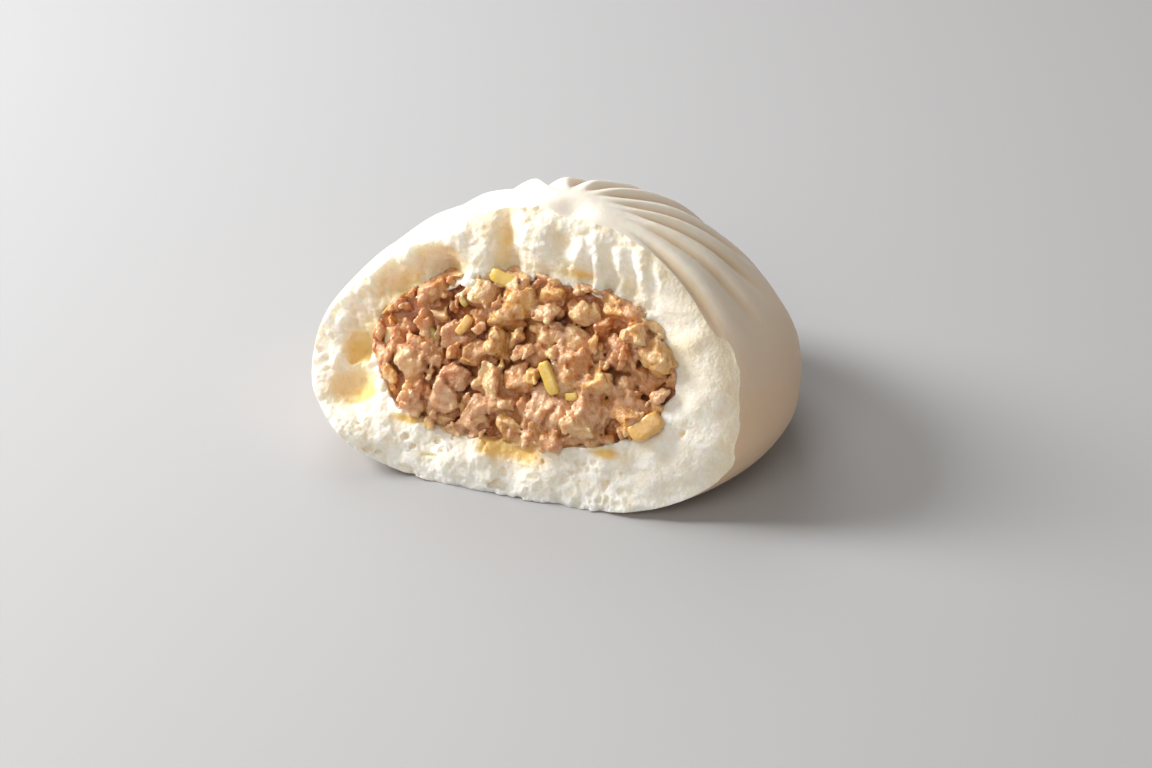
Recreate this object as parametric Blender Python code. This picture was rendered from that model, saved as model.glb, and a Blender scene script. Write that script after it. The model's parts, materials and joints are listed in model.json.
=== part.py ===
"""A steamed bun with a pork filling, torn open so that one slanting face shows crumb and filling.

Lengths are in metres and +Z is up. The origin is the middle of the flat base, on the axis that
the pleats turn round, and the torn face looks towards -Y and up.
"""
import itertools
import math
import random

import bmesh
import bpy
import numpy as np
from mathutils import Euler, Vector

# The whole bun, before it was torn
BUN_RADIUS = 0.050
BUN_HEIGHT = 0.0525
WIDEST_HEIGHT = 0.014
BASE_RADIUS = 0.033
CROWN_POWER = 1.2
BUN_SEGMENTS_PER_PLEAT = 5
BUN_RINGS = 27
BASE_SHARE = 0.12
UNDERSIDE_SHARE = 0.26

# Broad swellings of the skin: (azimuth and half width in degrees, level, half height, how far out).
# The first is where the bun was pulled apart, the others are flatter shoulders.
SKIN_SWELLS = (
    (212, 28, 0.018, 0.014, 0.0025),
    (163, 34, 0.042, 0.014, -0.0018),
    (40, 25, 0.035, 0.012, -0.0010),
)
SWELLS_START, SWELLS_FULL = 0.004, 0.020

# Pleats that turn round the crown, each steep on one side and easy on the other
PLEATS = 19
PLEAT_DEPTH = 0.0023
PLEAT_INWARD = 0.80
PLEAT_STEEP_SHARE = 0.3
PLEAT_UNEVEN = 0.25
PLEAT_UNEVEN_TURN = 2.4
FIRST_GROOVE = math.radians(3.8)
SWIRL_PER_METRE = math.radians(550)
SWIRL_RADIUS = 0.034
PLEATS_START, PLEATS_FULL = 0.007, 0.020
PLEATS_FADE, PLEATS_END = 0.032, 0.046
# Towards the torn front the pleats start further out and stand lower
PLEATS_FRONT_LATER, PLEATS_FRONT_LOWER = 0.007, 0.25
# The pleats meet a little off the bun's own axis
GATHER_X, GATHER_Y = 0.0032, -0.0022
# Low lumps all over the skin: size and height
SKIN_LUMP, SKIN_LUMP_HEIGHT = 0.012, 0.0006
DIMPLE_RADIUS = 0.0038
DIMPLE_DEPTH = 0.0018
# The underside touches down at a few places near its edge, and between them it lifts by a hair
BASE_WAVES = 5
BASE_WAVE_DEPTH = 0.0002
BASE_WAVE_START, BASE_WAVE_FULL = 0.022, 0.030
FIRST_FOOT = 2 * math.pi / PLEATS

# The torn face: a plane that leans back, seen in its own axes u (right), v (up the slope) and w (out)
TEAR_LEAN = math.radians(27.7)
TEAR_CENTRE = Vector((0.0, -0.0192, 0.026))
TEAR_U = Vector((1.0, 0.0, 0.0))
TEAR_V = Vector((0.0, math.sin(TEAR_LEAN), math.cos(TEAR_LEAN)))
TEAR_W = Vector((0.0, -math.cos(TEAR_LEAN), math.sin(TEAR_LEAN)))
BLOCK_U = (-0.060, 0.060)
BLOCK_V = (-0.044, 0.042)
BLOCK_CELL = 0.0020
BLOCK_DEPTH = 0.045

# Broad shape of the torn face: (u, v, half width, half height, height out of the plane)
TEAR_SWELLS = (
    (-0.045, -0.002, 0.012, 0.010, -0.0030),
    (-0.040, -0.024, 0.007, 0.007, 0.0042),
    (0.022, -0.029, 0.012, 0.005, -0.0014),
    (-0.017, -0.030, 0.008, 0.005, -0.0014),
    (0.000, -0.031, 0.030, 0.005, -0.0026),
    (0.041, -0.022, 0.010, 0.008, -0.0025),
    (-0.002, -0.027, 0.020, 0.006, 0.0006),
    (-0.002, 0.024, 0.006, 0.006, 0.0016),
    (-0.019, 0.021, 0.007, 0.005, 0.0010),
    (0.036, 0.000, 0.006, 0.014, 0.0012),
)
# Hollows left where crumb stayed on the other piece
TEAR_HOLLOWS = (
    (-0.0224, 0.0150, 0.0046, 0.0032, -0.0040),
    (-0.0090, 0.0245, 0.0022, 0.0036, -0.0026),
    (-0.0075, 0.0185, 0.0024, 0.0034, -0.0034),
    (0.0033, 0.0233, 0.0020, 0.0026, -0.0018),
    (-0.0377, -0.0038, 0.0030, 0.0026, -0.0036),
    (-0.0374, -0.0121, 0.0046, 0.0038, -0.0044),
    (-0.0310, 0.0100, 0.0040, 0.0030, -0.0028),
)
# Crumb torn into hanging strands above the filling
STRANDS_U = (0.003, 0.026)
STRANDS_V = 0.0190
STRANDS_HALF_HEIGHT = 0.0045
STRAND_PITCH = 0.0046
STRAND_DEPTH = 0.0009
STRAND_SLANT = 0.12
STRAND_WAVER, STRAND_WAVER_SIZE = 0.0013, 0.0060
# The crumb dips towards the filling, most above it and at its sides
DIP_DEPTH = 0.0016
DIP_REACH = 0.22
DIP_BELOW_SHARE = 0.15
DIP_ABOVE_V, DIP_BELOW_V = 0.004, -0.012
# Crags: (size of one lump, height)
TEAR_CRAGS = ((0.0075, 0.0011), (0.0036, 0.0006))

# The ball of filling, squarer below where it sagged
FILLING_CENTRE = Vector((-0.0018, -0.012, 0.0248))
FILLING_HALF = Vector((0.0337, 0.034, 0.0155))
FILLING_TILT = math.radians(2.5)
FILLING_SQUARE_POWER = 0.42
FILLING_SEGMENTS = 32
FILLING_RINGS = 18
FILLING_GAP = 0.0003
CORE_INSET = 0.0001
FACE_MIDDLE_U, FACE_MIDDLE_V = -0.0020, -0.0006
FILLING_FACE_U, FILLING_FACE_V = 0.0315, 0.0168
FACE_SQUARE = 2.5
CORE_RECESS = -0.0042
CORE_LUMP, CORE_LUMP_SIZE = 0.0013, 0.0050
CORE_CELL = 0.0030

# Chunks of minced pork that show in the torn face, on a sunflower spiral
CHUNKS = 44
CHUNK_HALF = (0.0046, 0.0037, 0.0032)
CHUNK_SIZES = (0.76, 1.25)
CHUNK_SINK = (-0.0028, -0.0006)
CHUNK_EDGE_SINK = 0.0022
CHUNK_JITTER = 0.0010
CHUNK_LUMP, CHUNK_LUMP_SIZE = 0.24, 0.9
CHUNK_SPREAD = 0.97
GOLDEN_ANGLE = math.pi * (3 - math.sqrt(5))
CHUNK_SEED = 12

# Which pattern of the noise each surface takes
CRAG_NOISE, CORE_NOISE, SKIN_NOISE, STRAND_NOISE, CHUNK_NOISE = 1, 7, 9, 11, 20

DOUGH_COLOUR, DOUGH_ROUGHNESS = (0.86, 0.81, 0.70), 0.55
FILLING_COLOUR, FILLING_ROUGHNESS = (0.50, 0.27, 0.13), 0.4


def lump_noise(points, size, seed):
    """Smooth noise from -1 to 1 at each point, with lumps of the given size."""
    scaled = np.asarray(points, float) / size + 1000.0
    cell = np.floor(scaled).astype(np.int64)
    share = scaled - cell
    share = share * share * (3 - 2 * share)
    total = np.zeros(len(cell))
    for corner in itertools.product((0, 1), repeat=3):
        x, y, z = (cell + corner).T
        mixed = (x * 374761393 + y * 668265263 + z * 1103515245 + seed * 974711) & 0xFFFFFFFF
        mixed = ((mixed ^ (mixed >> 13)) * 1274126177) & 0xFFFFFFFF
        mixed = (mixed ^ (mixed >> 16)) & 0xFFFF
        weight = np.prod(np.where(corner, share, 1 - share), axis=1)
        total += weight * (mixed / 32767.5 - 1)
    return total


def smooth_step(value, start, end):
    share = np.clip((value - start) / (end - start), 0, 1)
    return share * share * (3 - 2 * share)


def bell(u, v, swell):
    """A smooth swelling, or a hollow where its height is negative."""
    middle_u, middle_v, half_u, half_v, height = swell
    away = ((u - middle_u) / half_u) ** 2 + ((v - middle_v) / half_v) ** 2
    return height * np.exp(-away)


def profile(latitude):
    """Radius and height of the plain bun at latitudes from -pi/2 (base) to pi/2 (crown)."""
    share = (latitude + math.pi / 2) / math.pi
    turn = (share - BASE_SHARE) / UNDERSIDE_SHARE
    under = np.clip(turn, 0, 1) * math.pi / 2
    rise = np.clip((share - BASE_SHARE - UNDERSIDE_SHARE) / (1 - BASE_SHARE - UNDERSIDE_SHARE), 0, 1)
    over = rise * math.pi / 2
    radius = np.where(
        share < BASE_SHARE,
        BASE_RADIUS * share / BASE_SHARE,
        BASE_RADIUS + (BUN_RADIUS - BASE_RADIUS) * np.sin(under),
    )
    radius = np.where(rise > 0, BUN_RADIUS * np.cos(over) ** CROWN_POWER, radius)
    height = np.where(share < BASE_SHARE, 0.0, WIDEST_HEIGHT * (1 - np.cos(under)))
    height = np.where(rise > 0, WIDEST_HEIGHT + (BUN_HEIGHT - WIDEST_HEIGHT) * np.sin(over), height)
    return radius, height


def pleat_height(turn, radius):
    """How far the skin stands out, or in where negative, at a turn counted along the swirl."""
    phase = (turn - FIRST_GROOVE) / (2 * math.pi / PLEATS)
    number = np.floor(phase)
    phase = phase - number
    steep = np.sin(np.clip(phase / PLEAT_STEEP_SHARE, 0, 1) * math.pi / 2)
    easy = np.cos(np.clip((phase - PLEAT_STEEP_SHARE) / (1 - PLEAT_STEEP_SHARE), 0, 1) * math.pi / 2)
    fold = np.where(phase < PLEAT_STEEP_SHARE, steep, easy) - PLEAT_INWARD
    uneven = 1 + PLEAT_UNEVEN * np.sin(number * PLEAT_UNEVEN_TURN)
    front = 0.5 - 0.5 * np.sin(turn)
    later = PLEATS_FRONT_LATER * front
    strength = smooth_step(radius, PLEATS_START + later, PLEATS_FULL + later)
    strength = strength * (1 - smooth_step(radius, PLEATS_FADE, PLEATS_END)) * (1 - PLEATS_FRONT_LOWER * front)
    return PLEAT_DEPTH * fold * uneven * strength


def bun_surface(points):
    """Moves the points of a unit sphere onto the bun, pleats and all."""
    latitude = np.arcsin(np.clip(points[:, 2], -1, 1))
    turn = np.arctan2(points[:, 1], points[:, 0])
    radius, height = profile(latitude)
    upper = height > WIDEST_HEIGHT
    fold = np.where(upper, pleat_height(turn, radius), 0.0)
    azimuth = turn - SWIRL_PER_METRE * (radius - SWIRL_RADIUS) * upper
    gather = (1 - (radius / BUN_RADIUS) ** 2) * upper
    x = radius * np.cos(azimuth) + GATHER_X * gather
    y = radius * np.sin(azimuth) + GATHER_Y * gather
    from_gather = radius
    radius, azimuth = np.hypot(x, y), np.arctan2(y, x)
    rise = np.sqrt(1 - np.clip(radius / BUN_RADIUS, 0, 1) ** (2 / CROWN_POWER))
    height = np.where(upper, WIDEST_HEIGHT + (BUN_HEIGHT - WIDEST_HEIGHT) * rise, height)
    slope = np.clip((height - WIDEST_HEIGHT) / (BUN_HEIGHT - WIDEST_HEIGHT), 0, 1)
    place = np.stack([radius * np.cos(azimuth), radius * np.sin(azimuth), height], axis=1)
    broad = SKIN_LUMP_HEIGHT * lump_noise(place, SKIN_LUMP, SKIN_NOISE)
    outer = smooth_step(radius, SWELLS_START, SWELLS_FULL)
    for middle, width, level, reach, out in SKIN_SWELLS:
        turned = np.angle(np.exp(1j * (azimuth - math.radians(middle)))) / math.radians(width)
        broad = broad + out * outer * np.exp(-(turned**2) - ((height - level) / reach) ** 2)
    fold = fold + broad * np.clip(height / WIDEST_HEIGHT, 0, 1)
    radius = radius + fold * np.sqrt(1 - slope**2)
    height = height + fold * slope
    height = height - DIMPLE_DEPTH * np.exp(-((from_gather / DIMPLE_RADIUS) ** 2)) * upper
    wave = 0.5 - 0.5 * np.cos(BASE_WAVES * (turn - FIRST_FOOT))
    edge = smooth_step(from_gather, BASE_WAVE_START, BASE_WAVE_FULL)
    height = height + BASE_WAVE_DEPTH * wave * edge * np.clip(1 - height / WIDEST_HEIGHT, 0, 1)
    return np.stack([radius * np.cos(azimuth), radius * np.sin(azimuth), height], axis=1)


def filling_surface(points, gap=0.0):
    """Moves the points of a unit sphere onto the ball of filling, a gap outside it."""
    level = np.hypot(points[:, 0], points[:, 1])
    squarer = np.where(points[:, 2] < 0, level**FILLING_SQUARE_POWER, level)
    spread = np.where(level > 0, squarer / np.maximum(level, 1e-9), 0.0)
    shaped = points * np.stack([spread, spread, np.ones_like(spread)], axis=1)
    x, y, z = (shaped * (np.array(FILLING_HALF) + gap)).T
    along, across = math.cos(FILLING_TILT), math.sin(FILLING_TILT)
    return np.stack([along * x - across * z, y, across * x + along * z], axis=1) + np.array(FILLING_CENTRE)


def face_away(u, v):
    """How far out a place is on the face of the filling: 0 in its middle and 1 at its edge."""
    u, v = u - FACE_MIDDLE_U, v - FACE_MIDDLE_V
    along, across = math.cos(FILLING_TILT), math.sin(FILLING_TILT)
    long_way = np.abs((along * u + across * v) / FILLING_FACE_U)
    short_way = np.abs((along * v - across * u) / FILLING_FACE_V)
    return (long_way**FACE_SQUARE + short_way**FACE_SQUARE) ** (1 / FACE_SQUARE)


def tear_height(u, v):
    """Height of the torn crumb out of the tear's plane."""
    height = sum(bell(u, v, swell) for swell in TEAR_SWELLS + TEAR_HOLLOWS)
    below = 1 - smooth_step(v, DIP_BELOW_V, DIP_ABOVE_V)
    dip = DIP_DEPTH * (1 - (1 - DIP_BELOW_SHARE) * below)
    height = height - dip * np.exp(-(((face_away(u, v) - 1) / DIP_REACH) ** 2))
    inside = smooth_step(u, STRANDS_U[0], STRANDS_U[0] + STRAND_PITCH)
    inside = inside * (1 - smooth_step(u, STRANDS_U[1] - STRAND_PITCH, STRANDS_U[1]))
    inside = inside * np.exp(-(((v - STRANDS_V) / STRANDS_HALF_HEIGHT) ** 2))
    flat = np.stack([u, v, np.zeros_like(u)], axis=1)
    across = u + STRAND_SLANT * v + STRAND_WAVER * lump_noise(flat, STRAND_WAVER_SIZE, STRAND_NOISE)
    height = height + STRAND_DEPTH * inside * np.cos(2 * math.pi * across / STRAND_PITCH)
    for number, (size, tall) in enumerate(TEAR_CRAGS):
        height = height + tall * lump_noise(flat, size, CRAG_NOISE + number)
    return height


def core_height(u, v):
    """Height of the packed filling behind the chunks, out of the tear's plane."""
    flat = np.stack([u, v, np.zeros_like(u)], axis=1)
    return CORE_RECESS + CORE_LUMP * lump_noise(flat, CORE_LUMP_SIZE, CORE_NOISE)


def on_tear(u, v, w):
    """Points in the bun's axes from points in the tear's own axes."""
    axes = np.array([TEAR_U, TEAR_V, TEAR_W])
    return np.stack([u, v, w], axis=1) @ axes + np.array(TEAR_CENTRE)


def material(name, colour, roughness):
    made = bpy.data.materials.new(name)
    made.use_nodes = True
    shader = made.node_tree.nodes["Principled BSDF"]
    shader.inputs["Base Color"].default_value = (*colour, 1.0)
    shader.inputs["Roughness"].default_value = roughness
    return made


def new_collection(name, rendered=True):
    made = bpy.data.collections.new(name)
    made.hide_render = not rendered
    bpy.context.scene.collection.children.link(made)
    return made


def points_of(bm):
    return np.array([vertex.co for vertex in bm.verts])


def place_points(bm, places):
    for vertex, place in zip(bm.verts, places):
        vertex.co = place


def object_from(bm, name, collection, surface=None):
    """Turns the bmesh into a named object. With no surface material it is a hidden cutter."""
    bmesh.ops.recalc_face_normals(bm, faces=bm.faces)
    mesh = bpy.data.meshes.new(name)
    bm.to_mesh(mesh)
    bm.free()
    made = bpy.data.objects.new(name, mesh)
    collection.objects.link(made)
    if surface is None:
        made.hide_render = True
        made.display_type = "WIRE"
    else:
        mesh.materials.append(surface)
        mesh.shade_smooth()
    return made


def sphere(segments, rings):
    bm = bmesh.new()
    bmesh.ops.create_uvsphere(bm, u_segments=segments, v_segments=rings, radius=1.0)
    return bm


def add_boolean(obj, name, operation, other):
    """Joins, cuts or keeps the common part, with one object or a whole collection."""
    step = obj.modifiers.new(name, "BOOLEAN")
    step.operation = operation
    if isinstance(other, bpy.types.Collection):
        step.operand_type = "COLLECTION"
        step.collection = other
    else:
        step.object = other
    step.solver = "EXACT"


def keep_outer_shell(mesh):
    """Fills the small gaps closed in between fused pieces: only the shell with most faces stays."""
    bm = bmesh.new()
    bm.from_mesh(mesh)
    left = set(bm.faces)
    shells = []
    while left:
        shell = [left.pop()]
        for face in shell:
            linked = {other for edge in face.edges for other in edge.link_faces}
            shell.extend(linked & left)
            left -= linked
        shells.append(shell)
    shells.sort(key=len)
    inner = [face for shell in shells[:-1] for face in shell]
    bmesh.ops.delete(bm, geom=inner, context="FACES")
    bm.to_mesh(mesh)
    bm.free()


def tear_block(name, collection, height_at, cell):
    """A block in front of the torn face, whose back is the face's relief."""
    columns = round((BLOCK_U[1] - BLOCK_U[0]) / cell)
    rows = round((BLOCK_V[1] - BLOCK_V[0]) / cell)
    bm = bmesh.new()
    bmesh.ops.create_grid(bm, x_segments=columns, y_segments=rows, size=1.0)
    places = points_of(bm)
    u = np.interp(places[:, 0], (-1, 1), BLOCK_U)
    v = np.interp(places[:, 1], (-1, 1), BLOCK_V)
    place_points(bm, on_tear(u, v, height_at(u, v)))
    front = bmesh.ops.extrude_face_region(bm, geom=bm.faces[:])["geom"]
    moved = [part for part in front if isinstance(part, bmesh.types.BMVert)]
    bmesh.ops.translate(bm, verts=moved, vec=TEAR_W * BLOCK_DEPTH)
    return object_from(bm, name, collection)


def make_dough(collection, cutters):
    """The bun's bread: pleated skin outside, torn crumb in front and the hollow for the filling."""
    bm = sphere(PLEATS * BUN_SEGMENTS_PER_PLEAT, BUN_RINGS)
    place_points(bm, bun_surface(points_of(bm)))
    bread = material("steamed_dough", DOUGH_COLOUR, DOUGH_ROUGHNESS)
    dough = object_from(bm, "bun_dough", collection, bread)
    torn_away = tear_block("torn_away", cutters, tear_height, BLOCK_CELL)
    bm = sphere(FILLING_SEGMENTS, FILLING_RINGS)
    place_points(bm, filling_surface(points_of(bm), FILLING_GAP))
    hollow = object_from(bm, "filling_hollow", cutters)
    add_boolean(dough, "tear", "DIFFERENCE", torn_away)
    add_boolean(dough, "hollow", "DIFFERENCE", hollow)
    return dough


def face_place(away, angle):
    """The place on the torn face that is so far out on the face of the filling, at that angle."""
    cosine, sine = math.cos(angle), math.sin(angle)
    away = away / (abs(cosine) ** FACE_SQUARE + abs(sine) ** FACE_SQUARE) ** (1 / FACE_SQUARE)
    long_way, short_way = FILLING_FACE_U * away * cosine, FILLING_FACE_V * away * sine
    along, across = math.cos(FILLING_TILT), math.sin(FILLING_TILT)
    u = FACE_MIDDLE_U + along * long_way - across * short_way
    v = FACE_MIDDLE_V + across * long_way + along * short_way
    return u, v


def edge_sink(away, angle):
    """How far back a chunk lies: most at the upper edge, where the crumb hangs over, least at the lower."""
    return CHUNK_EDGE_SINK * away**2 * (0.5 + 0.5 * math.sin(angle))


def chunk_places():
    """Where each chunk of pork lies: (u, v, w), half sizes and a turn, largest spread evenly."""
    draw = random.Random(CHUNK_SEED)
    for number in range(CHUNKS):
        away = CHUNK_SPREAD * math.sqrt((number + 0.5) / CHUNKS)
        angle = number * GOLDEN_ANGLE
        u, v = face_place(away, angle)
        u, v = u + draw.uniform(-1, 1) * CHUNK_JITTER, v + draw.uniform(-1, 1) * CHUNK_JITTER
        w = draw.uniform(*CHUNK_SINK) - edge_sink(away, angle)
        scale = draw.uniform(*CHUNK_SIZES)
        half = [scale * side * draw.uniform(0.85, 1.15) for side in CHUNK_HALF]
        turn = Euler([draw.uniform(-math.pi, math.pi) for _ in range(3)])
        yield (u, v, w), half, turn


def make_chunk(number, place, half, turn, collection):
    bm = bmesh.new()
    bmesh.ops.create_icosphere(bm, subdivisions=2, radius=1.0)
    unit = points_of(bm)
    lumpy = unit * (1 + CHUNK_LUMP * lump_noise(unit, CHUNK_LUMP_SIZE, CHUNK_NOISE + number))[:, None]
    axes = np.array(turn.to_matrix())
    middle = on_tear(*(np.array([value]) for value in place))
    place_points(bm, (lumpy * np.array(half)) @ axes.T + middle)
    return object_from(bm, f"chunk_{number:02d}", collection)


def make_filling(collection, cutters):
    """The pork filling: a ball behind the torn face, with the chunks that show fused onto it."""
    bm = sphere(FILLING_SEGMENTS, FILLING_RINGS)
    place_points(bm, filling_surface(points_of(bm), -CORE_INSET))
    pork = material("pork_filling", FILLING_COLOUR, FILLING_ROUGHNESS)
    filling = object_from(bm, "pork_filling", collection, pork)
    face = tear_block("filling_face", cutters, core_height, CORE_CELL)
    bm = sphere(FILLING_SEGMENTS, FILLING_RINGS)
    place_points(bm, filling_surface(points_of(bm)))
    envelope = object_from(bm, "filling_envelope", cutters)
    loose = new_collection("chunks", rendered=False)
    for number, (place, half, turn) in enumerate(chunk_places()):
        make_chunk(number, place, half, turn, loose)
    add_boolean(filling, "front_face", "DIFFERENCE", face)
    add_boolean(filling, "fuse_chunks", "UNION", loose)
    add_boolean(filling, "keep_inside", "INTERSECT", envelope)
    fused = bpy.data.meshes.new_from_object(filling.evaluated_get(bpy.context.evaluated_depsgraph_get()))
    filling.modifiers.clear()
    filling.data = fused
    keep_outer_shell(fused)
    for chunk in list(loose.objects):
        bpy.data.objects.remove(chunk)
    bpy.data.collections.remove(loose)
    return filling


def main():
    for old in list(bpy.data.objects):
        bpy.data.objects.remove(old)
    bun = new_collection("steamed_pork_bun")
    cutters = new_collection("cutters", rendered=False)
    make_dough(bun, cutters)
    make_filling(bun, cutters)


main()
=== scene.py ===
"""Looks of the torn steamed pork bun: pleated skin, torn crumb, minced pork, a floor and studio light.

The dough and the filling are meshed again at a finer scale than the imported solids, from the same
sizes and the same seeded rules, so that they keep the solids' form. Lengths are in metres, apart
from the tables of places, which say so.
"""
import itertools
import json
import math
import random

import bmesh
import bpy
import numpy as np
from mathutils import Euler, Matrix, Vector
from mathutils.kdtree import KDTree

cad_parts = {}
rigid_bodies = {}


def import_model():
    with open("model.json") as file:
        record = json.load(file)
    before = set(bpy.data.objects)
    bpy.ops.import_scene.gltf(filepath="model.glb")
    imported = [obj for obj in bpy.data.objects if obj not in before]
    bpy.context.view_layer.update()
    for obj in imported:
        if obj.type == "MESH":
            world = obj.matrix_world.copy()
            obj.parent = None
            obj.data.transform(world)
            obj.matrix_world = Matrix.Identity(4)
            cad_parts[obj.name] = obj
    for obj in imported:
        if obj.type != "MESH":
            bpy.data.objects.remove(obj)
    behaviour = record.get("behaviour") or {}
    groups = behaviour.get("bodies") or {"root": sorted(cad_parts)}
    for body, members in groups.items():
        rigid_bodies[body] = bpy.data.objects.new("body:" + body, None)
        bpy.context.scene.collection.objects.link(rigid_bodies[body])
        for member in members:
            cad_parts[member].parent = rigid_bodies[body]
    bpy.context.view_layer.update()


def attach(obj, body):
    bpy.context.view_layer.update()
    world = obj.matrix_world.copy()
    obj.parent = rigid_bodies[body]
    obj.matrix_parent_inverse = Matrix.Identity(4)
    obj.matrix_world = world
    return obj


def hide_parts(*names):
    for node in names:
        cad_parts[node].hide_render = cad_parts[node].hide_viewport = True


for old in list(bpy.data.objects):
    bpy.data.objects.remove(old)
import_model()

# The whole bun, before it was torn
BUN_RADIUS = 0.050
BUN_HEIGHT = 0.0525
WIDEST_HEIGHT = 0.014
DOME_HEIGHT = BUN_HEIGHT - WIDEST_HEIGHT
BASE_RADIUS = 0.033
CROWN_POWER = 1.2
SKIN_SEGMENTS_PER_PLEAT = 10
SKIN_RINGS = 90
BASE_SHARE = 0.12
UNDERSIDE_SHARE = 0.26

# Broad swellings of the skin: (azimuth and half width in degrees, level, half height, how far out).
# The first is where the bun was pulled apart, the others are flatter shoulders.
SKIN_SWELLS = (
    (212, 28, 0.018, 0.014, 0.0025),
    (163, 34, 0.042, 0.014, -0.0018),
    (40, 25, 0.035, 0.012, -0.0010),
)
SWELLS_START, SWELLS_FULL = 0.004, 0.020

# Pleats that turn round the crown, each steep on one side and easy on the other
PLEATS = 19
PLEAT_DEPTH = 0.0023
PLEAT_INWARD = 0.80
PLEAT_STEEP_SHARE = 0.3
PLEAT_UNEVEN = 0.25
PLEAT_UNEVEN_TURN = 2.4
GROOVE_WIDTH = 0.10
FIRST_GROOVE = math.radians(3.8)
SWIRL_PER_METRE = math.radians(550)
SWIRL_RADIUS = 0.034
PLEATS_START, PLEATS_FULL = 0.007, 0.020
PLEATS_FADE, PLEATS_END = 0.032, 0.046
# Towards the torn front the pleats start further out and stand lower
PLEATS_FRONT_LATER, PLEATS_FRONT_LOWER = 0.007, 0.25
# The pleats meet in a dimple a little off the bun's own axis
GATHER_X, GATHER_Y = 0.0032, -0.0022
DIMPLE_RADIUS = 0.0038
DIMPLE_DEPTH = 0.0018
# Low lumps all over the skin: size and height
SKIN_LUMP, SKIN_LUMP_HEIGHT = 0.012, 0.0006
# The underside touches down at a few places near its edge, and between them it lifts by a hair
BASE_WAVES = 5
BASE_WAVE_DEPTH = 0.0002
BASE_WAVE_START, BASE_WAVE_FULL = 0.022, 0.030
FIRST_FOOT = 2 * math.pi / PLEATS

# The torn face: a plane that leans back, seen in its own axes u (right), v (up the slope) and w (out)
TEAR_LEAN = math.radians(27.7)
TEAR_CENTRE = np.array((0.0, -0.0192, 0.026))
TEAR_AXES = np.array((
    (1.0, 0.0, 0.0),
    (0.0, math.sin(TEAR_LEAN), math.cos(TEAR_LEAN)),
    (0.0, -math.cos(TEAR_LEAN), math.sin(TEAR_LEAN)),
))


def in_metres(lengths):
    """Lengths that are written in millimetres, alone or in tuples."""
    if isinstance(lengths, tuple):
        return tuple(in_metres(part) for part in lengths)
    return lengths / 1000


# Broad shape of the torn face: (u, v, half width, half height, height out of the plane), in millimetres
TEAR_SWELLS = in_metres((
    (-45, -2, 12, 10, -3),
    (-40, -24, 7, 7, 4.2),
    (22, -29, 12, 5, -1.4),
    (-17, -30, 8, 5, -1.4),
    (0, -31, 30, 5, -2.6),
    (41, -22, 10, 8, -2.5),
    (-2, -27, 20, 6, 0.6),
    (-2, 24, 6, 6, 1.6),
    (-19, 21, 7, 5, 1),
    (36, 0, 6, 14, 1.2),
))
# Hollows left where crumb stayed on the other piece
TEAR_HOLLOWS = in_metres((
    (-22.4, 15, 4.6, 3.2, -4),
    (-9, 24.5, 2.2, 3.6, -2.6),
    (-7.5, 18.5, 2.4, 3.4, -3.4),
    (3.3, 23.3, 2, 2.6, -1.8),
    (-37.7, -3.8, 3, 2.6, -3.6),
    (-37.4, -12.1, 4.6, 3.8, -4.4),
    (-31, 10, 4, 3, -2.8),
))
# Crumb torn into hanging strands above the filling
STRANDS_U = (0.003, 0.026)
STRANDS_V = 0.0190
STRANDS_HALF_HEIGHT = 0.0045
STRAND_PITCH = 0.0046
STRAND_DEPTH = 0.0009
STRAND_SLANT = 0.12
STRAND_WAVER, STRAND_WAVER_SIZE = 0.0013, 0.0060
# The crumb dips towards the filling, most above it and at its sides
DIP_DEPTH = 0.0016
DIP_REACH = 0.22
DIP_BELOW_SHARE = 0.15
DIP_ABOVE_V, DIP_BELOW_V = 0.004, -0.012
# Crags: (size of one lump, height)
TEAR_CRAGS = ((0.0075, 0.0011), (0.0036, 0.0006))

# Fine shape of the crumb: tufts (size, height), and how they are bent about (size, how far)
TUFTS = ((0.0034, 0.0011), (0.0016, 0.0006))
CRUMB_WARP = ((0.0026, 0.0009), (0.0011, 0.00035))
# Bubbles torn open: how far apart, smallest and largest radius as shares of that, and their share outside
# the porous part below the filling
PORES_APART = (0.0023, 0.0012)
PORE_RADIUS = (0.16, 0.46)
PORE_DEPTH, PORE_SHARE = 1.0, 0.45
CRUMB_GRAIN = (0.0008, 0.00020)
# The fine shape is worked out only this close to the torn face
CRUMB_BAND = 0.0035
# The crumb's edge round the filling: lumps (size, height), and how far it hangs over the filling's top
HOLLOW_LUMPS = ((0.0024, 0.0007), (0.0011, 0.0003))
HOLLOW_OVERLAP = 0.0005
# Share of the roughness that the broad hollows lose
SMOOTH_HOLLOWS = 0.50
# Below the filling the crumb is full of pores, above it torn into smoother sheets, at its right drawn out
POROUS_V = (-0.021, -0.013)
SHEETS_V = (0.012, 0.018)
DRAWN_U, DRAWN_OUT = (0.020, 0.030), 0.55
# How much of the roughness stays in the drawn band, of the tufts below and of the tufts in the sheets
DRAWN_ROUGH, POROUS_TUFTS, SHEET_TUFTS = 0.35, 0.40, 0.70
# The tear bends back into the skin at its right and upper edge: how far, from how deep, and where
BEND_DEPTH, BEND_REACH = 0.0022, 0.0050
BEND_U, BEND_V, BEND_ABOVE = (0.010, 0.022), (0.012, 0.022), 0.5
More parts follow.
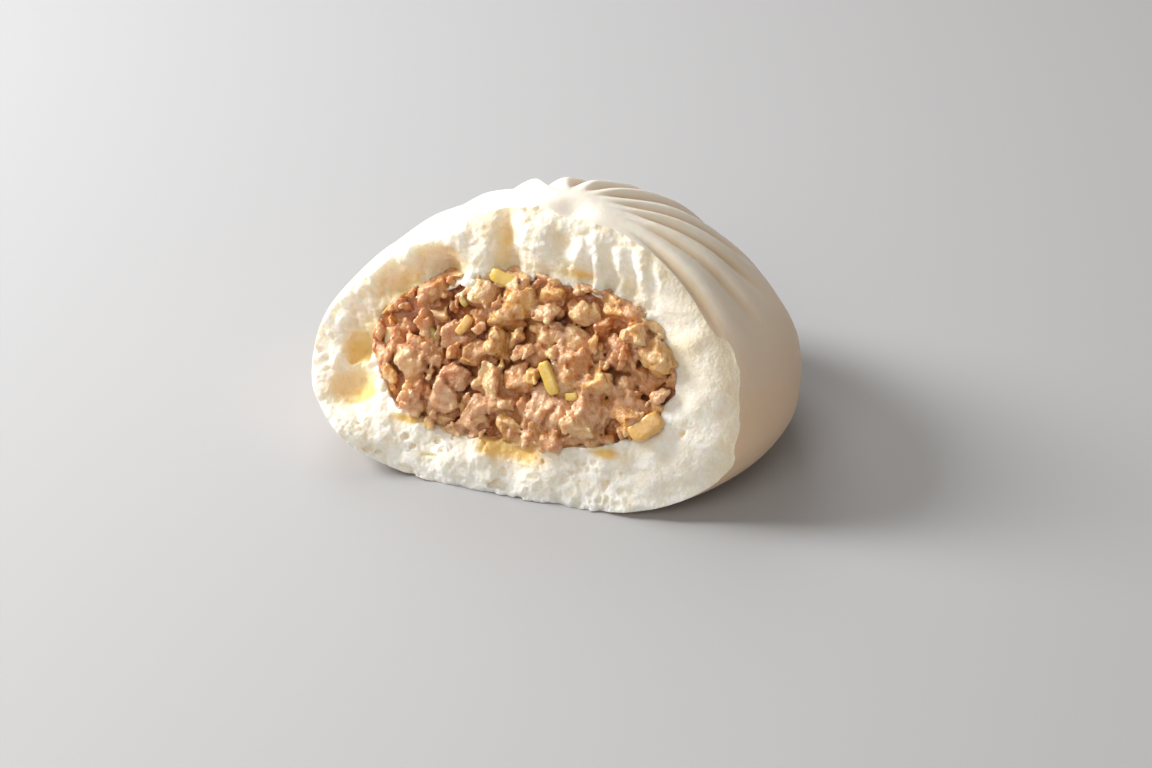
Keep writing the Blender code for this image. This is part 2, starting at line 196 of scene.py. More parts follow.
# Pockets with thin smooth walls: (u, v, w) and half sizes, in millimetres
POCKETS = in_metres((
    ((-38.2, -4.6, -2.8), (3.1, 3.5, 3.8)),
    ((-37.4, -12.4, -1.4), (4.6, 3.4, 3.4)),
    ((-32.2, 8.8, -0.6), (3, 1.8, 1.8)),
    ((-22.8, 17.6, -0.2), (3.6, 1.8, 1.8)),
    ((-8.8, 22.8, -0.2), (1.4, 3.2, 1.8)),
    ((-3.1, -26.6, -0.8), (2.2, 0.9, 1.4)),
    ((12.5, -21.8, 0), (1.2, 0.7, 1.3)),
    ((15, -23.6, -0.2), (1.5, 0.6, 1.3)),
    ((19.6, -22.2, -0.2), (1.3, 0.7, 1.2)),
    ((34, -9.8, 0.2), (0.9, 0.7, 1)),
    ((-18, -23.6, 0), (1.6, 0.8, 1.2)),
))
POCKET_WARP = (0.0022, 0.0008)
# Painted warm shade in the crumb's pits: how far below the broad shape they start, and how deep they count
# in full
PIT_START, PIT_DEPTH = 0.0002, 0.0016
# Where juice has soaked in: (u, v, half width, half height), in millimetres
JUICE_SPOTS = in_metres((
    (0.5, -19.6, 6.2, 2.6),
    (-5, -18.8, 3, 1.8),
    (-24.5, -16.8, 3, 1),
    (19, -16.5, 3, 1),
    (7.5, 18, 3, 1),
))
# Spots of painted warm shade at the crumb's hollows and pockets, in metres: (u, v, half width, half height,
# strength)
WARM_SHADE_SPOTS = (
    (-0.0280, 0.0100, 0.0036, 0.0034, 0.95),
    (-0.0198, 0.0138, 0.0028, 0.0042, 0.95),
    (-0.0358, 0.0004, 0.0034, 0.0030, 0.95),
    (-0.0380, -0.0048, 0.0030, 0.0034, 0.75),
    (-0.0354, -0.0125, 0.0042, 0.0030, 0.75),
    (-0.0325, 0.0060, 0.0030, 0.0030, 0.60),
    (-0.0093, 0.0215, 0.0015, 0.0050, 0.85),
    (-0.0125, 0.0235, 0.0024, 0.0030, 0.45),
    (0.0022, 0.0243, 0.0020, 0.0022, 0.40),
    (0.0340, -0.0100, 0.0010, 0.0008, 0.60),
)
# Size of the blotches of warm crumb, and how ragged the juice's edge is: size and share
BLOTCH_SIZE, RAGGED_SIZE, RAGGED_SHARE = 0.006, 0.0028, 0.5
# The soaked ring round the filling: how far out, how wide, and its share below the filling
SOAKED_AT, SOAKED_WIDTH, SOAKED_LOW, SOAKED_V = 1.10, 0.14, 0.25, (-0.006, 0.010)
# Pockets count from this far outside to this far inside, and only on the left
POCKET_EDGE, POCKETS_U = (-0.0014, 0.0002), (-0.004, -0.016)
# A spot of painted warm shade is fainter where no blotch and no pit is
SPOT_SHARE, SPOT_BLOTCH, SPOT_PIT = 0.55, 0.45, 0.35
# How much the painted warm shade of hollows, pockets and pits, the soaked ring and the spots of painted
# warm shade count
WARM_SHARES = (0.20, 0.30, 0.30, 0.45, 0.75)
# How far the crumb presses on the filling's edge
CRUMB_PRESS = 0.0009
# Where it reaches further over the filling: (u, v, half width, half height, how far), in millimetres
OVERHANGS = in_metres((
    (29, 10, 6, 6, 1.8),
    (-22.4, 13.8, 4.5, 4, 1.8),
    (-8, 16.5, 3.2, 4, 1.8),
))
# The outer edge above the filling reaches further still
LIP_REACH = 0.0010
LIP_W, LIP_V = (-0.0035, -0.0010), (-0.002, 0.008)
# Grid of the crumb's mesh: its cell, its fine part, and how far it goes in all
CRUMB_CELL = 0.00037
CRUMB_U, CRUMB_V, CRUMB_W = (-0.0495, 0.0460), (-0.0315, 0.0330), (-0.0100, 0.0062)
FAR_U, FAR_V, FAR_W = 0.060, 0.044, 0.030
GRID_MARGIN = 0.002

# The ball of filling, squarer below where it sagged
FILLING_CENTRE = np.array((-0.0018, -0.012, 0.0248))
FILLING_HALF = np.array((0.0337, 0.034, 0.0155))
FILLING_TILT = math.radians(2.5)
ALONG, ACROSS = math.cos(FILLING_TILT), math.sin(FILLING_TILT)
FILLING_SQUARE_POWER = 0.42
FILLING_SEGMENTS = 96
FILLING_RINGS = 48
FILLING_GAP = 0.0003
FACE_MIDDLE_U, FACE_MIDDLE_V = -0.0020, -0.0006
FILLING_FACE_U, FILLING_FACE_V = 0.0315, 0.0168
FACE_SQUARE = 2.5
SLOPE_STEP = 0.0001
CORE_RECESS = -0.0042
CORE_LUMP, CORE_LUMP_SIZE = 0.0013, 0.0050
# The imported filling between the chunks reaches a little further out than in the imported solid
CORE_RAISE = 0.0012

# Chunks of minced pork that show in the torn face, on a sunflower spiral
CHUNKS = 44
CHUNK_HALF = (0.0046, 0.0037, 0.0032)
CHUNK_SIZES, CHUNK_UNEVEN = (0.76, 1.25), (0.85, 1.15)
CHUNK_SINK = (-0.0028, -0.0006)
CHUNK_EDGE_SINK = 0.0022
CHUNK_JITTER = 0.0010
CHUNK_SPREAD = 0.97
GOLDEN_ANGLE = math.pi * (3 - math.sqrt(5))
CHUNK_SEED = 12
CHUNK_SHARPNESS = 18.0
CHUNK_ROUND = 1.12
# Sides of a chunk: how many, how far out, and the groove where two chunks meet
CHUNK_SIDES = (7, 10)
SIDE_OUT = (0.62, 1.0)
SIDE_SEED = 3
CREVICE_DEPTH, CREVICE_WIDTH = 0.00065, 0.00040
# Some neighbours are pressed into one lump: how wide the join is, where, and over what distance it varies
JOIN_REACH, JOIN_AT, JOIN_SIZE = 0.0015, (0.02, 0.48), 0.0055
CHUNK_WARP = ((0.0042, 0.0011), (0.0017, 0.0004))
CHUNK_TUFTS = ((0.0021, 0.00065), (0.0011, 0.00035))
CHUNK_GRAIN = (0.0008, 0.00018)

# Pieces of the filling that stand out: (u, v, w) and half sizes in millimetres, turn in degrees, tint
TAN, PINK, PALE, ORANGE, BROWN = 0.15, 0.38, 0.62, 0.86, 0.98
STANDING_OUT = (
    ((10.2, 10, -1.2), (3.1, 2.7, 2), 20, PALE),
    ((15.8, 12.5, -1.6), (3.3, 2.6, 2.2), -20, ORANGE),
    ((21.8, 9, -1.8), (2.2, 3.4, 2.1), 25, ORANGE),
    ((19, 4.5, -1), (4.4, 3, 2.5), -10, PINK),
    ((9.2, 0.4, -0.6), (3.4, 3.2, 2.6), 35, TAN),
    ((22.5, -6.2, -1.2), (4.2, 2.8, 2.4), -15, TAN),
    ((15, -9.2, -1.2), (1.5, 4.3, 1.8), -6, TAN),
    ((8.4, -11.2, -0.8), (3.2, 3.8, 2.6), 10, PINK),
    ((0.8, -11.2, -0.8), (4, 3.6, 2.5), 40, TAN),
    ((-7.2, -7.2, -0.4), (4.4, 3.6, 2.8), -25, PALE),
    ((-15.2, -7.6, -0.6), (4.2, 3.3, 2.6), 30, PINK),
    ((-22.8, -11.8, -0.8), (4.6, 3.4, 2.4), 15, TAN),
    ((-12.6, -12.8, -1.4), (1.4, 3.4, 1.8), 8, ORANGE),
    ((-3.8, 13.5, -1.8), (2.2, 3.6, 2.2), 12, PALE),
    ((5.4, 15, -2.2), (4.8, 1, 1.2), 20, BROWN),
    ((-20.5, 5.2, -1.4), (2.4, 2.4, 2), 0, PALE),
)
# Vegetable sticks and bits: (u, v, w) and half sizes in millimetres, turn in degrees, hue
GREEN, YELLOW, GOLD, CREAM = 0.0, 0.3, 0.65, 1.0
VEGETABLES = (
    ((5.3, -3.6, 1.6), (3.5, 1.3, 1), -58, YELLOW),
    ((10.6, -6.4, 1.2), (1.2, 0.8, 0.6), 15, YELLOW),
    ((26.8, -9.8, 0.4), (3.5, 2, 1.6), 42, GOLD),
    ((-8.2, 14.6, -1), (3, 1.4, 1.1), -12, YELLOW),
    ((-15.6, 8.8, 0.6), (1.2, 0.6, 0.5), -50, GREEN),
    ((-21.2, 1.2, 0), (1.8, 0.9, 0.8), -35, GREEN),
    ((-30.8, -3.2, -2.6), (4.2, 1.3, 1.2), 96, CREAM),
    ((-14.6, 4, 0.4), (2.2, 1, 0.9), 60, GOLD),
)
STICK_SIDES, STICK_RINGS = 14, 24
STICK_BEND = 0.07
STICK_SQUARE = 0.45
STICK_BLUNT = 0.24
STICK_LUMP, STICK_LUMP_SIZE = 0.15, 0.0016

# Small bits between and on the chunks
BITS = 90
BIT_HALF = (0.0019, 0.0014, 0.0011)
BIT_SINK = (-0.0022, 0.0012)
BIT_SIZES, BIT_UNEVEN = (0.7, 1.35), (0.8, 1.25)
BIT_FIRST_ANGLE = 1.0
BIT_SEED = 5
RIM_BITS = 54
RIM_JITTER, RIM_SIZES = 0.3, (1.0, 1.6)
RIM_AWAY = (0.93, 1.03)
RIM_SINK = (-0.0034, -0.0008)
RIM_SEED = 17
FILLING_CELL = 0.00034
FILLING_U, FILLING_V, FILLING_W = (-0.0370, 0.0370), (-0.0215, 0.0215), (-0.0085, 0.0062)

# The ball's own surface is rough near the torn face: lumps (size, height), how deep, and from where
BALL_LUMPS = ((0.0030, 0.0011), (0.0013, 0.0006))
BALL_PRESS, BALL_FADE, BALL_W = 0.0003, 0.0030, (-0.0078, -0.0050)
# How far the chunks are looked for, and their fine shape worked out
FACE_BAND = 0.009
CHUNK_BAND, CHUNK_MARGIN = 0.0020, 0.0015
# Tint of each chunk, and how dark the painted shade in the gaps between chunks and behind them is, less so
# at the upper rim
TINT_SEED = 8
TINT_RANGE = (0.0, 0.88)
DEEP_SHADE, CREVICE_SHADE = 0.55, 0.40
RIM_REACH, RIM_V, RIM_LIGHTER = 0.0010, (0.0, 0.008), 0.9

# Colours
SKIN_PALE, SKIN_CREAM = (0.88, 0.86, 0.80), (0.85, 0.80, 0.69)
# Colour of the painted warm shade on the lower skin
SKIN_WARM_SHADE = (0.84, 0.56, 0.32)
# Painted warm shade on the lower skin: the skin is palest at the upper of these heights and above it, and
# warmest at the lower one
SKIN_SHADE_HEIGHTS, SKIN_SHADE_SHARE = (0.044, 0.020), 0.70
# Painted shade in the creases between the pleats
SKIN_GROOVE_SHADE = (0.72, 0.50, 0.24)
CRUMB_SHADE, CRUMB_WHITE = (0.84, 0.79, 0.66), (0.93, 0.91, 0.85)
# Yellow of the painted warm shade in the crumb's hollows, pockets and pits, and of the soaked ring
CRUMB_YELLOW = (0.86, 0.64, 0.27)
CRUMB_JUICE = (0.92, 0.62, 0.23)
PORK_TINTS = (
    (0.0, (0.56, 0.25, 0.075)),
    (TAN, (0.66, 0.35, 0.125)),
    (PINK, (0.70, 0.40, 0.225)),
    (PALE, (0.80, 0.54, 0.25)),
    (ORANGE, (0.78, 0.43, 0.10)),
    (BROWN, (0.34, 0.13, 0.035)),
)
# Pale fat, also mixed onto the lump tops, which are partly fat and partly painted highlight
PORK_FAT = (0.88, 0.66, 0.44)
# Colour of the painted shade between and behind the chunks
PORK_DEEP_SHADE = (0.42, 0.11, 0.028)
VEGETABLE_HUES = (
    (GREEN, (0.42, 0.30, 0.05)),
    (YELLOW, (0.74, 0.50, 0.10)),
    (GOLD, (0.76, 0.44, 0.13)),
    (CREAM, (0.84, 0.62, 0.34)),
)
VEGETABLE_PALE = (0.84, 0.68, 0.36)

# Which pattern of the noise each surface takes
CRAG_NOISE, CORE_NOISE, SKIN_NOISE, STRAND_NOISE = 1, 7, 9, 11
BLOTCH_NOISE, RAGGED_NOISE, TUFT_NOISE, CRUMB_GRAIN_NOISE, PORE_NOISE = 33, 34, 40, 44, 46
CRUMB_WARP_NOISE, POCKET_NOISE, HOLLOW_NOISE = 50, 64, 71
CHUNK_WARP_NOISE, CHUNK_TUFT_NOISE, CHUNK_GRAIN_NOISE = 80, 90, 93
JOIN_NOISE, BALL_NOISE, STICK_NOISE = 94, 97, 120

# Noise: where its cells start, how far spots stray in their cells, and how far a tuft reaches
NOISE_START, SPOT_STRAY, TUFT_REACH = 1000.0, 0.75, 0.75
FAR_AWAY, TINY, JUST_SOLID = 9.0, 1e-6, 1e-5
CORNERS = list(itertools.product((0, 1), repeat=3))
STEPS = np.eye(3, dtype=np.int64)


def hashed(cell, seed):
    """A whole number from 0 to 65535 for each cell, which looks random."""
    x, y, z = cell.T
    mixed = (x * 374761393 + y * 668265263 + z * 1103515245 + seed * 974711) & 0xFFFFFFFF
    mixed = ((mixed ^ (mixed >> 13)) * 1274126177) & 0xFFFFFFFF
    return (mixed ^ (mixed >> 16)) & 0xFFFF


def lump_noise(points, size, seed):
    """Smooth noise from -1 to 1 at each point, with lumps of the given size."""
    scaled = np.asarray(points, float) / size + NOISE_START
    cell = np.floor(scaled).astype(np.int64)
    share = scaled - cell
    share = share * share * (3 - 2 * share)
    total = np.zeros(len(cell))
    for corner in CORNERS:
        weight = np.prod(np.where(corner, share, 1 - share), axis=1)
        total += weight * (hashed(cell + corner, seed) / 32767.5 - 1)
    return total


def scattered(points, size, seed):
    """For the eight scattered spots nearest each point: the distance in sizes, and a random share."""
    scaled = np.asarray(points, float) / size + NOISE_START
    first = np.floor(scaled - 0.5).astype(np.int64)
    for corner in CORNERS:
        cell = first + corner
        spot = cell + 0.5
        for axis in range(3):
            spot[:, axis] += (hashed(cell, seed + 31 * axis) / 65535 - 0.5) * SPOT_STRAY
        yield np.sqrt(((scaled - spot) ** 2).sum(axis=1)), hashed(cell, seed + 101) / 65535


def tuft_noise(points, size, seed):
    """Rounded tufts from 0 in the creases between them to about 1 at their tops."""
    nearest = np.full(len(points), FAR_AWAY)
    for away, _ in scattered(points, size, seed):
        nearest = np.minimum(nearest, away)
    return np.clip(1 - nearest**2 / TUFT_REACH, 0, 1)


def tufts(points, layers, seed):
    """Height of layers of tufts (size, height), half of it above the surface and half below."""
    height = np.zeros(len(points))
    for number, (size, tall) in enumerate(layers):
        height += tall * (tuft_noise(points, size, seed + number) - 0.5)
    return height


def pore_depth(points, apart, seed):
    """Depth of round pores of mixed size at each point, as from bubbles cut open near their middles."""
    deepest = np.zeros(len(points))
    for away, draw in scattered(points, apart, seed):
        radius = PORE_RADIUS[0] + (PORE_RADIUS[1] - PORE_RADIUS[0]) * draw**2
        deepest = np.maximum(deepest, radius * np.sqrt(np.clip(1 - (away / radius) ** 2, 0, 1)))
    return PORE_DEPTH * apart * deepest


def moved_about(places, layers, seed, seeds_each=3):
    """The places shifted by smooth noise, for each layer of lumps: (size, how far)."""
    moved = places.copy()
    for number, (size, far) in enumerate(layers):
        for axis in range(3):
            moved[:, axis] += far * lump_noise(places, size, seed + seeds_each * number + axis)
    return moved


def faded(share, left):
    """1 where the share is 0, and what is left where it is 1."""
    return 1 - (1 - left) * share


def smooth_step(value, start, end):
    share = np.clip((value - start) / (end - start), 0, 1)
    return share * share * (3 - 2 * share)


def bell(u, v, swell):
    """A smooth swelling, or a hollow where its height is negative."""
    middle_u, middle_v, half_u, half_v, height = swell
    away = ((u - middle_u) / half_u) ** 2 + ((v - middle_v) / half_v) ** 2
    return height * np.exp(-away)


def profile(latitude):
    """Radius and height of the plain bun at latitudes from -pi/2 (base) to pi/2 (crown)."""
    share = (latitude + math.pi / 2) / math.pi
    turn = (share - BASE_SHARE) / UNDERSIDE_SHARE
    under = np.clip(turn, 0, 1) * math.pi / 2
    rise = np.clip((share - BASE_SHARE - UNDERSIDE_SHARE) / (1 - BASE_SHARE - UNDERSIDE_SHARE), 0, 1)
    over = rise * math.pi / 2
    radius = np.where(
        share < BASE_SHARE,
        BASE_RADIUS * share / BASE_SHARE,
        BASE_RADIUS + (BUN_RADIUS - BASE_RADIUS) * np.sin(under),
    )
    radius = np.where(rise > 0, BUN_RADIUS * np.cos(over) ** CROWN_POWER, radius)
    height = np.where(share < BASE_SHARE, 0.0, WIDEST_HEIGHT * (1 - np.cos(under)))
    height = np.where(rise > 0, WIDEST_HEIGHT + DOME_HEIGHT * np.sin(over), height)
    return radius, height


def pleat_phase(turn):
    """The number of the pleat at a turn, and how far across it the turn is, from 0 to 1."""
    phase = (turn - FIRST_GROOVE) / (2 * math.pi / PLEATS)
    number = np.floor(phase)
    return number, phase - number


def pleat_strength(turn, radius):
    """How strongly the pleats show, from 0 to 1, at a turn counted along the swirl."""
    front = 0.5 - 0.5 * np.sin(turn)
    later = PLEATS_FRONT_LATER * front
    strength = smooth_step(radius, PLEATS_START + later, PLEATS_FULL + later)
    return strength * (1 - smooth_step(radius, PLEATS_FADE, PLEATS_END)) * (1 - PLEATS_FRONT_LOWER * front)


def pleat_height(turn, radius):
    """How far the skin stands out, or in where negative, at a turn counted along the swirl."""
    number, phase = pleat_phase(turn)
    steep = np.sin(np.clip(phase / PLEAT_STEEP_SHARE, 0, 1) * math.pi / 2)
    easy = np.cos(np.clip((phase - PLEAT_STEEP_SHARE) / (1 - PLEAT_STEEP_SHARE), 0, 1) * math.pi / 2)
    fold = np.where(phase < PLEAT_STEEP_SHARE, steep, easy) - PLEAT_INWARD
    uneven = 1 + PLEAT_UNEVEN * np.sin(number * PLEAT_UNEVEN_TURN)
    return PLEAT_DEPTH * fold * uneven * pleat_strength(turn, radius)


def bun_surface(points):
    """Moves the points of a unit sphere onto the bun, pleats and all."""
    latitude = np.arcsin(np.clip(points[:, 2], -1, 1))
    turn = np.arctan2(points[:, 1], points[:, 0])
    radius, height = profile(latitude)
    upper = height > WIDEST_HEIGHT
    fold = np.where(upper, pleat_height(turn, radius), 0.0)
    azimuth = turn - SWIRL_PER_METRE * (np.where(upper, radius, BUN_RADIUS) - SWIRL_RADIUS)
    gather = (1 - (radius / BUN_RADIUS) ** 2) * upper
    x = radius * np.cos(azimuth) + GATHER_X * gather
    y = radius * np.sin(azimuth) + GATHER_Y * gather
    from_gather = radius
    radius, azimuth = np.hypot(x, y), np.arctan2(y, x)
    rise = np.sqrt(1 - np.clip(radius / BUN_RADIUS, 0, 1) ** (2 / CROWN_POWER))
    height = np.where(upper, WIDEST_HEIGHT + DOME_HEIGHT * rise, height)
    slope = np.clip((height - WIDEST_HEIGHT) / DOME_HEIGHT, 0, 1)
    place = np.stack([radius * np.cos(azimuth), radius * np.sin(azimuth), height], axis=1)
    broad = SKIN_LUMP_HEIGHT * lump_noise(place, SKIN_LUMP, SKIN_NOISE)
    outer = smooth_step(radius, SWELLS_START, SWELLS_FULL)
    for middle, width, level, reach, out in SKIN_SWELLS:
        turned = np.angle(np.exp(1j * (azimuth - math.radians(middle)))) / math.radians(width)
        broad = broad + out * outer * np.exp(-(turned**2) - ((height - level) / reach) ** 2)
    fold = fold + broad * np.clip(height / WIDEST_HEIGHT, 0, 1)
    radius = radius + fold * np.sqrt(1 - slope**2)
    height = height + fold * slope
    height = height - DIMPLE_DEPTH * np.exp(-((from_gather / DIMPLE_RADIUS) ** 2)) * upper
    wave = 0.5 - 0.5 * np.cos(BASE_WAVES * (azimuth - FIRST_FOOT))
    edge = smooth_step(from_gather, BASE_WAVE_START, BASE_WAVE_FULL)
    height = height + BASE_WAVE_DEPTH * wave * edge * np.clip(1 - height / WIDEST_HEIGHT, 0, 1)
    return np.stack([radius * np.cos(azimuth), radius * np.sin(azimuth), height], axis=1)


def filling_surface(points, gap=0.0):
    """Moves the points of a unit sphere onto the ball of filling, a gap outside it."""
    level = np.hypot(points[:, 0], points[:, 1])
    squarer = np.where(points[:, 2] < 0, level**FILLING_SQUARE_POWER, level)
    spread = np.where(level > 0, squarer / np.maximum(level, 1e-9), 0.0)
    shaped = points * np.stack([spread, spread, np.ones_like(spread)], axis=1)
    x, y, z = (shaped * (FILLING_HALF + gap)).T
    return np.stack([ALONG * x - ACROSS * z, y, ACROSS * x + ALONG * z], axis=1) + FILLING_CENTRE


def filling_size(points):
    """Size of the ball of filling that a point would lie on: 1 on its surface."""
    x, y, z = (points - FILLING_CENTRE).T
    away = np.stack([ALONG * x + ACROSS * z, y, ALONG * z - ACROSS * x], axis=1) / FILLING_HALF
    level = np.hypot(away[:, 0], away[:, 1])
    level = np.where(away[:, 2] < 0, level ** (1 / FILLING_SQUARE_POWER), level)
    return np.sqrt(level**2 + away[:, 2] ** 2)


def outside_filling(points):
    """Distance outside the ball of filling, negative inside it, nearly true close to its surface."""
    size = filling_size(points)
    slope = np.zeros(len(points))
    for axis in range(3):
        step = np.zeros(3)
        step[axis] = SLOPE_STEP
        slope += ((filling_size(points + step) - size) / SLOPE_STEP) ** 2
    return (size - 1) / np.maximum(np.sqrt(slope), 1.0)


def face_away(u, v):
    """How far out a place is on the face of the filling: 0 in its middle and 1 at its edge."""
    u, v = u - FACE_MIDDLE_U, v - FACE_MIDDLE_V
    long_way = np.abs((ALONG * u + ACROSS * v) / FILLING_FACE_U)
    short_way = np.abs((ALONG * v - ACROSS * u) / FILLING_FACE_V)
    return (long_way**FACE_SQUARE + short_way**FACE_SQUARE) ** (1 / FACE_SQUARE)


def in_plane(u, v):
    """Places in the tear's own plane."""
    return np.stack([u, v, np.zeros_like(u)], axis=1)


def tear_height(u, v):
    """Height of the torn crumb out of the tear's plane."""
    height = sum(bell(u, v, swell) for swell in TEAR_SWELLS + TEAR_HOLLOWS)
    below = 1 - smooth_step(v, DIP_BELOW_V, DIP_ABOVE_V)
    dip = DIP_DEPTH * faded(below, DIP_BELOW_SHARE)
    height = height - dip * np.exp(-(((face_away(u, v) - 1) / DIP_REACH) ** 2))
    inside = smooth_step(u, STRANDS_U[0], STRANDS_U[0] + STRAND_PITCH)
    inside = inside * (1 - smooth_step(u, STRANDS_U[1] - STRAND_PITCH, STRANDS_U[1]))
    inside = inside * np.exp(-(((v - STRANDS_V) / STRANDS_HALF_HEIGHT) ** 2))
    flat = in_plane(u, v)
    across = u + STRAND_SLANT * v + STRAND_WAVER * lump_noise(flat, STRAND_WAVER_SIZE, STRAND_NOISE)
    height = height + STRAND_DEPTH * inside * np.cos(2 * math.pi * across / STRAND_PITCH)
    for number, (size, tall) in enumerate(TEAR_CRAGS):
        height = height + tall * lump_noise(flat, size, CRAG_NOISE + number)
    return height


def hollow_share(u, v):
    """How far inside one of the smooth hollows a place is, from 0 to 1."""
    return np.clip(sum(bell(u, v, (*hollow[:4], 1.0)) for hollow in TEAR_HOLLOWS), 0, 1)


def core_height(u, v):
    """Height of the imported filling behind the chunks, out of the tear's plane."""
    return CORE_RECESS + CORE_LUMP * lump_noise(in_plane(u, v), CORE_LUMP_SIZE, CORE_NOISE)


def on_tear(places):
    """Points in the bun's axes from points in the tear's own axes."""
    return places @ TEAR_AXES + TEAR_CENTRE


def to_tear(points):
    """Points in the tear's own axes from points in the bun's axes."""
    return (points - TEAR_CENTRE) @ TEAR_AXES.T


def grid_lines(ranges, ends, cell):
    """Grid lines in u, v and w: fine over each range, with one wide step out to each far end."""
    lines = []
    for (start, end), (low, high) in zip(ranges, ends):
        fine = np.linspace(start, end, round((end - start) / cell) + 1)
        lines.append(np.concatenate([[low - cell, low], fine, [high, high + cell]]))
    return lines


def window(steps, shape):
    """The part of a grid that holds the same corner of every cell, or all of it where a step is None."""
    ends = [None if step is None else size - 1 + step for step, size in zip(steps, shape)]
    return tuple(slice(step, end) for step, end in zip(steps, ends))


def untangle(values):
    """Fills air cells that touch only along an edge or at a corner, so that the surface stays simple."""
    corners = {corner: window(corner, values.shape) for corner in CORNERS}
    while True:
        air = values < 0
        wrong = np.zeros(values.shape, bool)
        for axis in range(3):
            parts = []
            for step_a, step_b in itertools.product((0, 1), repeat=2):
                steps = [step_a, step_b]
                steps.insert(axis, None)
                parts.append(window(steps, values.shape))
            a, b, c, d = (air[part] for part in parts)
            crossed = (a == d) & (b == c) & (a != b)
            for part in parts:
                wrong[part] |= crossed
        count = sum(air[part].astype(np.int8) for part in corners.values())
        for corner in CORNERS[:4]:
            here = air[corners[corner]]
            same = here == air[corners[tuple(1 - step for step in corner)]]
            lone = same & (((count == 2) & here) | ((count == 6) & ~here))
            for part in corners.values():
                wrong[part] |= lone
        wrong &= air
        if not wrong.any():
            return
        values[wrong] = JUST_SOLID


def surface_net(values, lines):
    """Points and quads of the surface round the places where values are negative."""
    inside = values < 0
    count = sum(inside[window(corner, values.shape)].astype(np.int8) for corner in CORNERS)
    mixed = (count > 0) & (count < 8)
    cells = np.argwhere(mixed)
    number = np.full(mixed.shape, -1, np.int64)
    number[mixed] = np.arange(len(cells))
    total = np.zeros((len(cells), 3))
    crossings = np.zeros(len(cells))
    for first, second in itertools.combinations(CORNERS, 2):
        if sum(abs(a - b) for a, b in zip(first, second)) != 1:
            continue
        value_a = values[tuple((cells + first).T)]
        value_b = values[tuple((cells + second).T)]
        crossed = (value_a < 0) != (value_b < 0)
        share = np.where(crossed, value_a / np.where(crossed, value_a - value_b, 1.0), 0.0)
        place = np.array(first) + share[:, None] * (np.array(second) - np.array(first))
        total += place * crossed[:, None]
        crossings += crossed
    places = cells + total / crossings[:, None]
    along = [np.interp(places[:, i], np.arange(len(lines[i])), lines[i]) for i in range(3)]
    quads = []
    for axis, step in enumerate(STEPS):
        low, high = [slice(1, -1)] * 3, [slice(1, -1)] * 3
        low[axis], high[axis] = slice(0, -1), slice(1, None)
        start, end = inside[tuple(low)], inside[tuple(high)]
        step_a, step_b = STEPS[(axis + 1) % 3], STEPS[(axis + 2) % 3]
        for changed, forward in ((start & ~end, True), (~start & end, False)):
            edge = np.argwhere(changed) + 1 - step
            ring = [edge - step_a - step_b, edge - step_b, edge, edge - step_a]
            quad = np.stack([number[tuple(cell.T)] for cell in ring], axis=1)
            quads.append(quad if forward else quad[:, ::-1])
    return np.stack(along, axis=1), np.concatenate(quads)


def added(name, data, materials=()):
    """An object in the scene for a mesh, a light or a camera."""
    for used in materials:
        data.materials.append(used)
    made = bpy.data.objects.new(name, data)
    bpy.context.scene.collection.objects.link(made)
    return made


def mesh_object(name, points, faces, materials, index=0):
    """A mesh object from arrays of points and of faces that all have as many corners."""
    mesh = bpy.data.meshes.new(name)
    mesh.vertices.add(len(points))
    mesh.vertices.foreach_set("co", np.asarray(points, np.float32).ravel())
    mesh.loops.add(faces.size)
    mesh.loops.foreach_set("vertex_index", faces.ravel().astype(np.int32))
    mesh.polygons.add(len(faces))
    mesh.polygons.foreach_set("loop_start", np.arange(0, faces.size, faces.shape[1], dtype=np.int32))
    mesh.polygons.foreach_set("material_index", np.full(len(faces), index, np.int32))
    mesh.update(calc_edges=True)
    return added(name, mesh, materials)


def sphere_object(name, segments, rings, move, materials, index=0):
    """A unit sphere whose points are moved by a function, and its points before that."""
    bm = bmesh.new()
    bmesh.ops.create_uvsphere(bm, u_segments=segments, v_segments=rings, radius=1.0)
    unit = np.array([vertex.co for vertex in bm.verts])
    for vertex, place in zip(bm.verts, move(unit)):
        vertex.co = place
    bmesh.ops.recalc_face_normals(bm, faces=bm.faces)
    for face in bm.faces:
        face.material_index = index
    mesh = bpy.data.meshes.new(name)
    bm.to_mesh(mesh)
    bm.free()
    return added(name, mesh, materials), unit


def largest_shell(points, faces):
    """Drops loose scraps and closed bubbles: only the largest connected part stays."""
    label = np.arange(len(points))
    while True:
        lowest = label[faces].min(axis=1)
        fresh = label.copy()
        np.minimum.at(fresh, faces.ravel(), np.repeat(lowest, faces.shape[1]))
        fresh = fresh[fresh]
        if np.array_equal(fresh, label):
            break
        label = fresh
    names, counts = np.unique(label, return_counts=True)
    kept = label == names[counts.argmax()]
    renumber = np.cumsum(kept) - 1
    return points[kept], renumber[faces[kept[faces].all(axis=1)]]


def cut(obj, tools):
    """Takes the tools away from obj for good, and removes them."""
    for tool in tools:
        step = obj.modifiers.new(tool.name, "BOOLEAN")
        step.operation = "DIFFERENCE"
        step.object = tool
        step.solver = "MANIFOLD"
    cut_mesh = bpy.data.meshes.new_from_object(obj.evaluated_get(bpy.context.evaluated_depsgraph_get()))
    obj.modifiers.clear()
    obj.data = cut_mesh
    for tool in tools:
        bpy.data.objects.remove(tool)


def air_block(name, lines, air_at, materials, index):
    """A closed block of air in front of a torn surface. air_at gives the height above the surface."""
    u, v, w = np.meshgrid(*lines, indexing="ij")
    flat = np.stack([u.ravel(), v.ravel(), w.ravel()], axis=1)
    values = -air_at(flat).reshape(u.shape)
    ends = [0, -1]
    values[ends] = values[:, ends] = values[:, :, ends] = 1.0
    untangle(values)
    points, quads = largest_shell(*surface_net(values, lines))
    return mesh_object(name, on_tear(points), quads, materials, index)


